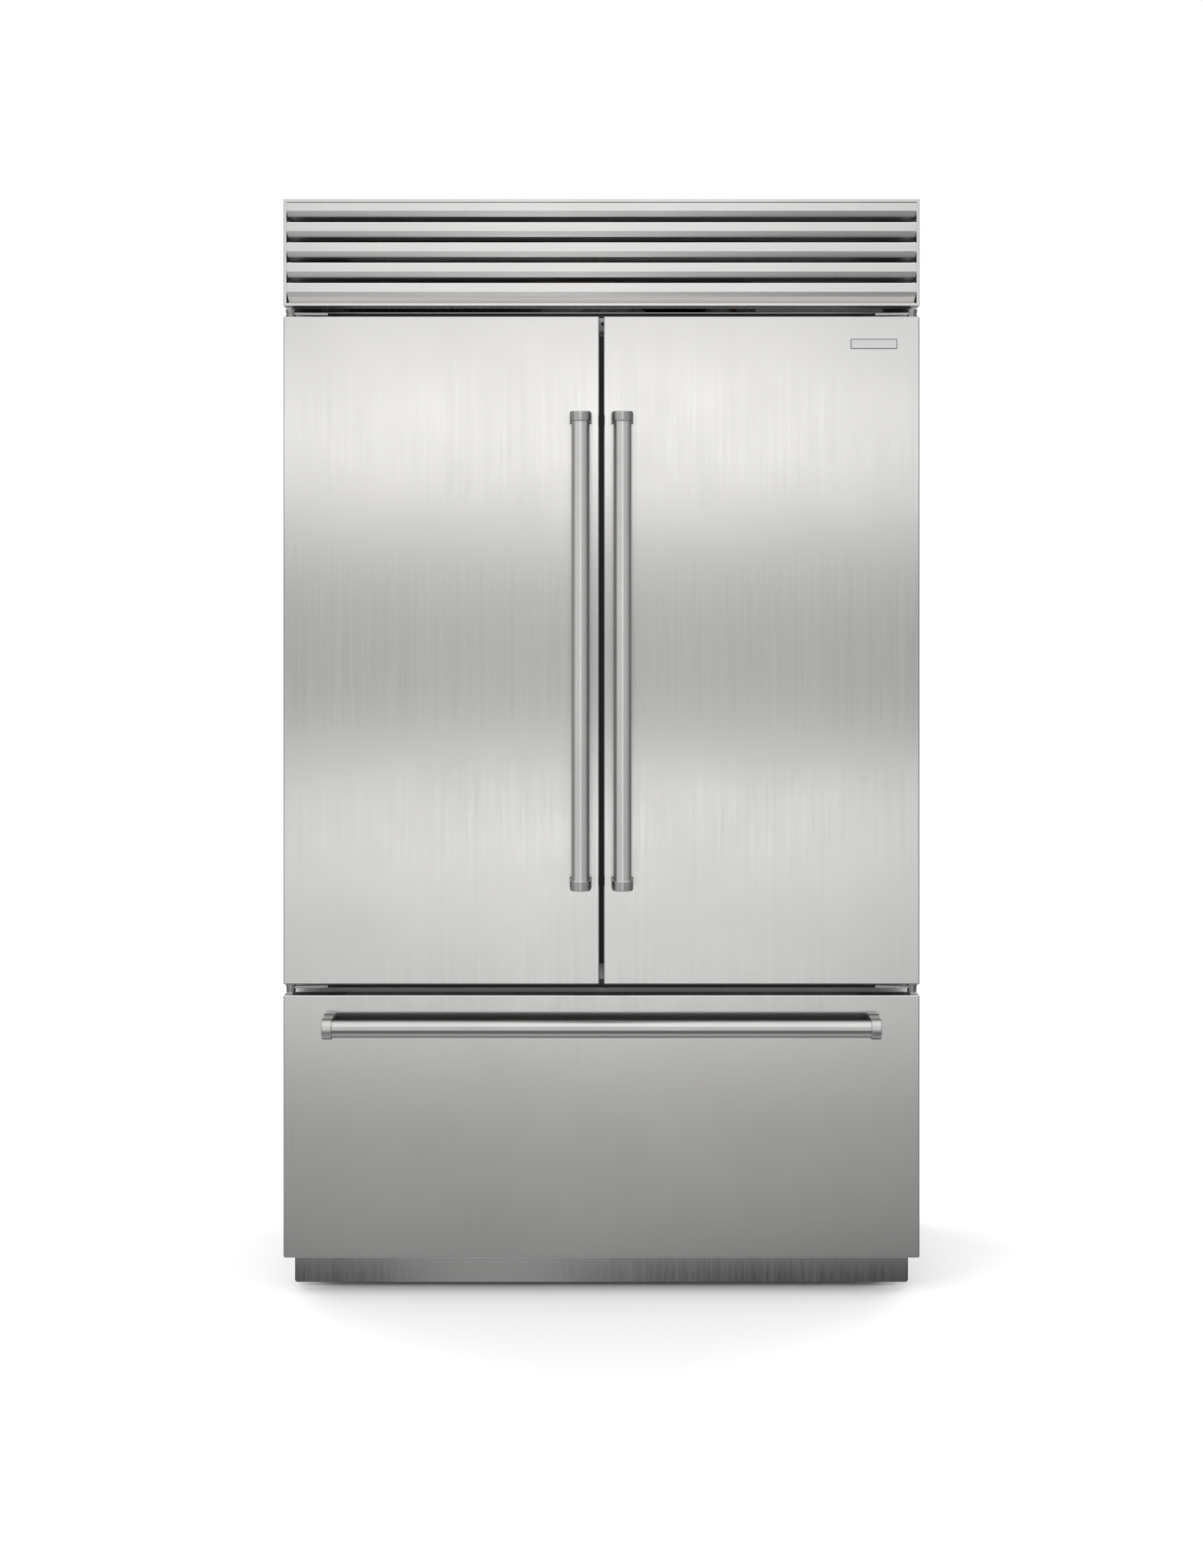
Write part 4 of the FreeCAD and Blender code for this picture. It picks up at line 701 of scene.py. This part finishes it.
class FRIDGE_OT_back(bpy.types.Operator):
    """Back sheet with long stiffening beads pressed into it."""

    bl_idname = "fridge.back"
    bl_label = "Back Sheet"

    def execute(self, context):
        depth = context.scene.fridge_sizes.bead_depth
        low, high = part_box("back_panel")
        half_width, soft, margin = 0.013, 0.003, 0.14
        middles = np.linspace(low.x + 0.12, high.x - 0.12, 7)
        slope = np.linspace(half_width - soft, half_width + soft, 6)
        steps = np.concatenate([-slope, slope])
        hem = 0.6 * MM                   # keeps the flat sheet's shading apart from its cut edges
        x = [low.x, low.x + hem, high.x - hem, high.x]
        x = np.unique(np.concatenate([x, (middles[:, None] + steps).ravel()]))
        ends = np.linspace(-half_width - soft, half_width + soft, 13)
        z = [low.z, low.z + hem, high.z - hem, high.z]
        z = np.unique(np.concatenate([z, low.z + margin + ends, high.z - margin + ends]))
        gx, gz = np.meshgrid(x, z)
        first, last = low.z + margin + half_width, high.z - margin - half_width
        over = np.maximum(np.maximum(first - gz, gz - last), 0)
        away = np.hypot(np.abs(gx[..., None] - middles).min(-1), over)
        s = np.clip((half_width + soft - away) / (2 * soft), 0, 1)
        outer = high.y - depth * s * s * (3 - 2 * s)
        inner = np.full_like(outer, low.y + 0.00005)
        rows, columns = gx.shape
        front = np.stack([gx, inner, gz], -1).reshape(-1, 3)
        back = np.stack([gx, outer, gz], -1).reshape(-1, 3)
        sheet = grid_faces(rows, columns)
        n = rows * columns
        edge = np.concatenate([np.arange(columns), np.arange(1, rows) * columns + columns - 1,
                               (rows - 1) * columns + np.arange(columns - 1)[::-1],
                               np.arange(1, rows - 1)[::-1] * columns])
        nxt = np.roll(edge, -1)
        rim = np.stack([edge, edge + n, nxt + n, nxt], -1)
        faces = np.concatenate([sheet, sheet[:, ::-1] + n, rim])
        made = piece("back_sheet_pressed", np.concatenate([front, back]), faces, "cabinet", "galvanised")
        smooth = np.concatenate([np.ones(2 * len(sheet), bool), np.zeros(len(rim), bool)])
        made.data.polygons.foreach_set("use_smooth", smooth)
        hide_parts("back_panel")
        return {"FINISHED"}


class FRIDGE_OT_pipes(bpy.types.Operator):
    """Copper pipes between the compressor, the condenser and the cabinet."""

    bl_idname = "fridge.pipes"
    bl_label = "Refrigerant Pipes"

    def execute(self, context):
        r = context.scene.fridge_sizes.pipe_radius
        low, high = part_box("compressor")
        coil_low, coil_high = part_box("condenser_coil")
        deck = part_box("machine_deck")[0].z + 0.0012
        mid_y = (low.y + high.y) / 2
        run = low.z + 0.03
        routes = {
            "discharge_pipe": [
                (low.x + 0.004, mid_y, low.z + 0.09), (low.x - 0.05, mid_y, low.z + 0.09),
                (low.x - 0.05, mid_y, run), (low.x - 0.05, coil_high.y + 0.045, run),
                (coil_high.x + 0.02, coil_high.y + 0.045, run), (coil_high.x + 0.02, coil_low.y + 0.02, run),
                (coil_high.x - 0.012, coil_low.y + 0.02, run)],
            "suction_pipe": [
                (high.x - 0.02, high.y - 0.035, low.z + 0.11), (high.x + 0.02, high.y, low.z + 0.11),
                (high.x + 0.03, high.y + 0.05, low.z + 0.11), (high.x + 0.03, high.y + 0.09, low.z + 0.05),
                (high.x + 0.03, high.y + 0.09, deck)],
            "process_stub": [
                (high.x - 0.02, mid_y - 0.03, low.z + 0.12), (high.x + 0.022, mid_y - 0.03, low.z + 0.12),
                (high.x + 0.022, mid_y - 0.03, low.z + 0.155)],
        }
        for name, corners in routes.items():
            radius = r * (0.75 if name == "process_stub" else 1)
            piece(name, *tube(bent(corners, 0.028), radius), "cabinet", "brass_fitting", finish="copper")
        return {"FINISHED"}


class FRIDGE_OT_studio(bpy.types.Operator):
    """Camera, pale floor and soft light."""

    bl_idname = "fridge.studio"
    bl_label = "Studio"

    def execute(self, context):
        scene, s = context.scene, context.scene.fridge_studio
        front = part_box("left_door_skin")[0].y
        lens = bpy.data.cameras.new("camera")
        lens.lens, lens.shift_y, lens.sensor_width = s.lens, s.shift, 36
        camera = bpy.data.objects.new("camera", lens)
        camera.location = (0, front - s.distance, s.height)
        camera.rotation_euler = (math.radians(90), 0, 0)
        scene.collection.objects.link(camera)
        scene.camera = camera
        scene.view_settings.view_transform = "Standard"
        self.floor(scene, s)
        self.surround(scene, s)
        for name, place, size, watts in LAMPS:
            light = bpy.data.lights.new(name, "AREA")
            light.size, light.energy = size, watts
            lamp = bpy.data.objects.new(name, light)
            lamp.location = place
            aim = np.array([0, 0, 1.1]) - place
            tilt, swing = math.atan2(math.hypot(aim[0], aim[1]), -aim[2]), math.atan2(aim[1], aim[0])
            lamp.rotation_euler = (tilt, 0, swing - math.pi / 2)
            lamp.visible_glossy = False
            scene.collection.objects.link(lamp)
        return {"FINISHED"}

    def floor(self, scene, s):
        """Round floor: rings of growing radius about the middle. Its light grows outwards until it meets
        the white surround."""
        sides = 64
        rings = np.concatenate([[0.01], np.geomspace(0.3, 60, 30)])
        turn = np.arange(sides) * 2 * np.pi / sides
        below = np.full((len(rings), sides), -0.0005)
        points = np.stack([rings[:, None] * np.cos(turn), rings[:, None] * np.sin(turn), below], -1)
        points = points.reshape(-1, 3)
        faces = grid_faces(len(rings), sides, round_columns=True).tolist() + [list(range(sides))]
        mesh = bpy.data.meshes.new("floor")
        mesh.from_pydata(points.tolist(), [], faces)
        material = bpy.data.materials.new("floor_paint")
        material.use_nodes = True
        tree = material.node_tree
        tree.nodes.clear()
        place = add(tree, "ShaderNodeTexCoord").outputs["Object"]
        reach = add(tree, "ShaderNodeVectorMath", {0: place}, operation="LENGTH").outputs["Value"]
        fade = fade_between(tree, reach, 0.9, 3.2)
        feeds = {"Base Color": (*s.floor_colour, 1), "Roughness": 0.6, "Specular IOR Level": 0.2}
        paint = add(tree, "ShaderNodeBsdfPrincipled", feeds)
        glow = add(tree, "ShaderNodeEmission", {"Color": (1, 1, 1, 1), "Strength": 1.0})
        mix = add(tree, "ShaderNodeMixShader", {0: fade, 1: paint.outputs[0], 2: glow.outputs[0]})
        add(tree, "ShaderNodeOutputMaterial", {"Surface": mix.outputs[0]})
        mesh.materials.append(material)
        ground = bpy.data.objects.new("floor", mesh)
        ground.visible_glossy = False
        scene.collection.objects.link(ground)

    def surround(self, scene, s):
        """Soft light from all round, set by the tables of slope and bearing at the top of this file. The
        backdrop itself is white."""
        world = bpy.data.worlds.new("surround")
        scene.world = world
        world.use_nodes = True
        tree = world.node_tree
        tree.nodes.clear()
        way = add(tree, "ShaderNodeTexCoord").outputs["Generated"]
        x, y, z = add(tree, "ShaderNodeSeparateXYZ", {0: way}).outputs
        flat = sum_of(tree, "SQRT", sum_of(tree, "MULTIPLY_ADD", x, x, sum_of(tree, "MULTIPLY", y, y)))
        slope = sum_of(tree, "DIVIDE", z, sum_of(tree, "MAXIMUM", flat, 0.01))
        feeds = {"Value": slope, "From Min": SLOPE_LOW, "From Max": SLOPE_HIGH}
        level = add(tree, "ShaderNodeMapRange", feeds).outputs[0]
        stops = [((v - SLOPE_LOW) / (SLOPE_HIGH - SLOPE_LOW), tone) for v, tone in SLOPE_TONES]
        bands = ramp(tree, level, stops)
        bearing = sum_of(tree, "ARCTAN2", x, sum_of(tree, "MULTIPLY", y, -1.0))
        turn = sum_of(tree, "MULTIPLY_ADD", bearing, 0.5 / math.pi, 0.5)
        upper = ramp(tree, turn, [(0.5 + angle / 360, tone) for angle, tone in BEARING_TONES])
        lower = ramp(tree, turn, [(0.5 + angle / 360, tone) for angle, tone in LOW_TONES])
        below = fade_between(tree, slope, *LOW_SLOPES)
        sides = sum_of(tree, "MULTIPLY_ADD", below, sum_of(tree, "SUBTRACT", lower, upper), upper)
        high = fade_between(tree, slope, 0.3, 0.9)
        spread = sum_of(tree, "MULTIPLY_ADD", high, sum_of(tree, "SUBTRACT", 0.85, sides), sides)
        aside = fade_between(tree, sum_of(tree, "ABSOLUTE", bearing), 0.4, 0.9)
        under = fade_between(tree, slope, -0.27, -0.4)
        lift = sum_of(tree, "MULTIPLY", sum_of(tree, "MULTIPLY", aside, under), SIDE_LIFT)
        lit = sum_of(tree, "MULTIPLY_ADD", bands, spread, lift)
        amount = sum_of(tree, "MULTIPLY", lit, s.strength * WORLD_SCALE)
        seen = add(tree, "ShaderNodeLightPath").outputs["Is Camera Ray"]
        strength = sum_of(tree, "MULTIPLY_ADD", seen, sum_of(tree, "SUBTRACT", 1.0, amount), amount)
        sky = add(tree, "ShaderNodeBackground", {"Color": (1, 1, 1, 1), "Strength": strength})
        add(tree, "ShaderNodeOutputWorld", {"Surface": sky.outputs[0]})


def ramp(tree, factor, stops):
    """Output of a colour ramp with these places and grey tones."""
    node = add(tree, "ShaderNodeValToRGB", {0: factor})
    node.color_ramp.interpolation = "EASE"
    marks = node.color_ramp.elements
    while len(marks) < len(stops):
        marks.new(0.5)
    for mark, (place, tone) in zip(marks, stops):
        mark.position = place
    for mark, (place, tone) in zip(marks, stops):
        mark.position, mark.color = place, (tone, tone, tone, 1)
    return node.outputs[0]


OPERATORS = (FRIDGE_OT_steel, FRIDGE_OT_sheet, FRIDGE_OT_mouldings, FRIDGE_OT_gaskets, FRIDGE_OT_bumper,
             FRIDGE_OT_trims, FRIDGE_OT_fittings, FRIDGE_OT_screws, FRIDGE_OT_back, FRIDGE_OT_pipes,
             FRIDGE_OT_studio)
GROUPS = {"fridge_steel": SteelFinish, "fridge_casing": CasingFinish, "fridge_sizes": FinePartSizes,
          "fridge_studio": StudioSettings}


class FRIDGE_PT_panel(bpy.types.Panel):
    """Lists the sizes, colours and operators."""

    bl_idname = "FRIDGE_PT_panel"
    bl_label = "Refrigerator"
    bl_space_type = "VIEW_3D"
    bl_region_type = "UI"
    bl_category = "Refrigerator"

    def draw(self, context):
        for name, group in GROUPS.items():
            box = self.layout.box()
            for setting in group.__annotations__:
                box.prop(getattr(context.scene, name), setting)
        for operator in OPERATORS:
            self.layout.operator(operator.bl_idname)


CLASSES = (*GROUPS.values(), *OPERATORS, FRIDGE_PT_panel)


def register():
    """Registers the classes and their settings."""
    for kind in CLASSES:
        bpy.utils.register_class(kind)
    for name, group in GROUPS.items():
        setattr(bpy.types.Scene, name, bpy.props.PointerProperty(type=group))


def unregister():
    """Takes the classes and their settings away again."""
    for name in GROUPS:
        delattr(bpy.types.Scene, name)
    for kind in reversed(CLASSES):
        bpy.utils.unregister_class(kind)


def main():
    """Dresses the frame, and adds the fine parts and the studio."""
    register()
    for operator in OPERATORS:
        section, name = operator.bl_idname.split(".")
        getattr(getattr(bpy.ops, section), name)()


if __name__ == "__main__":
    main()
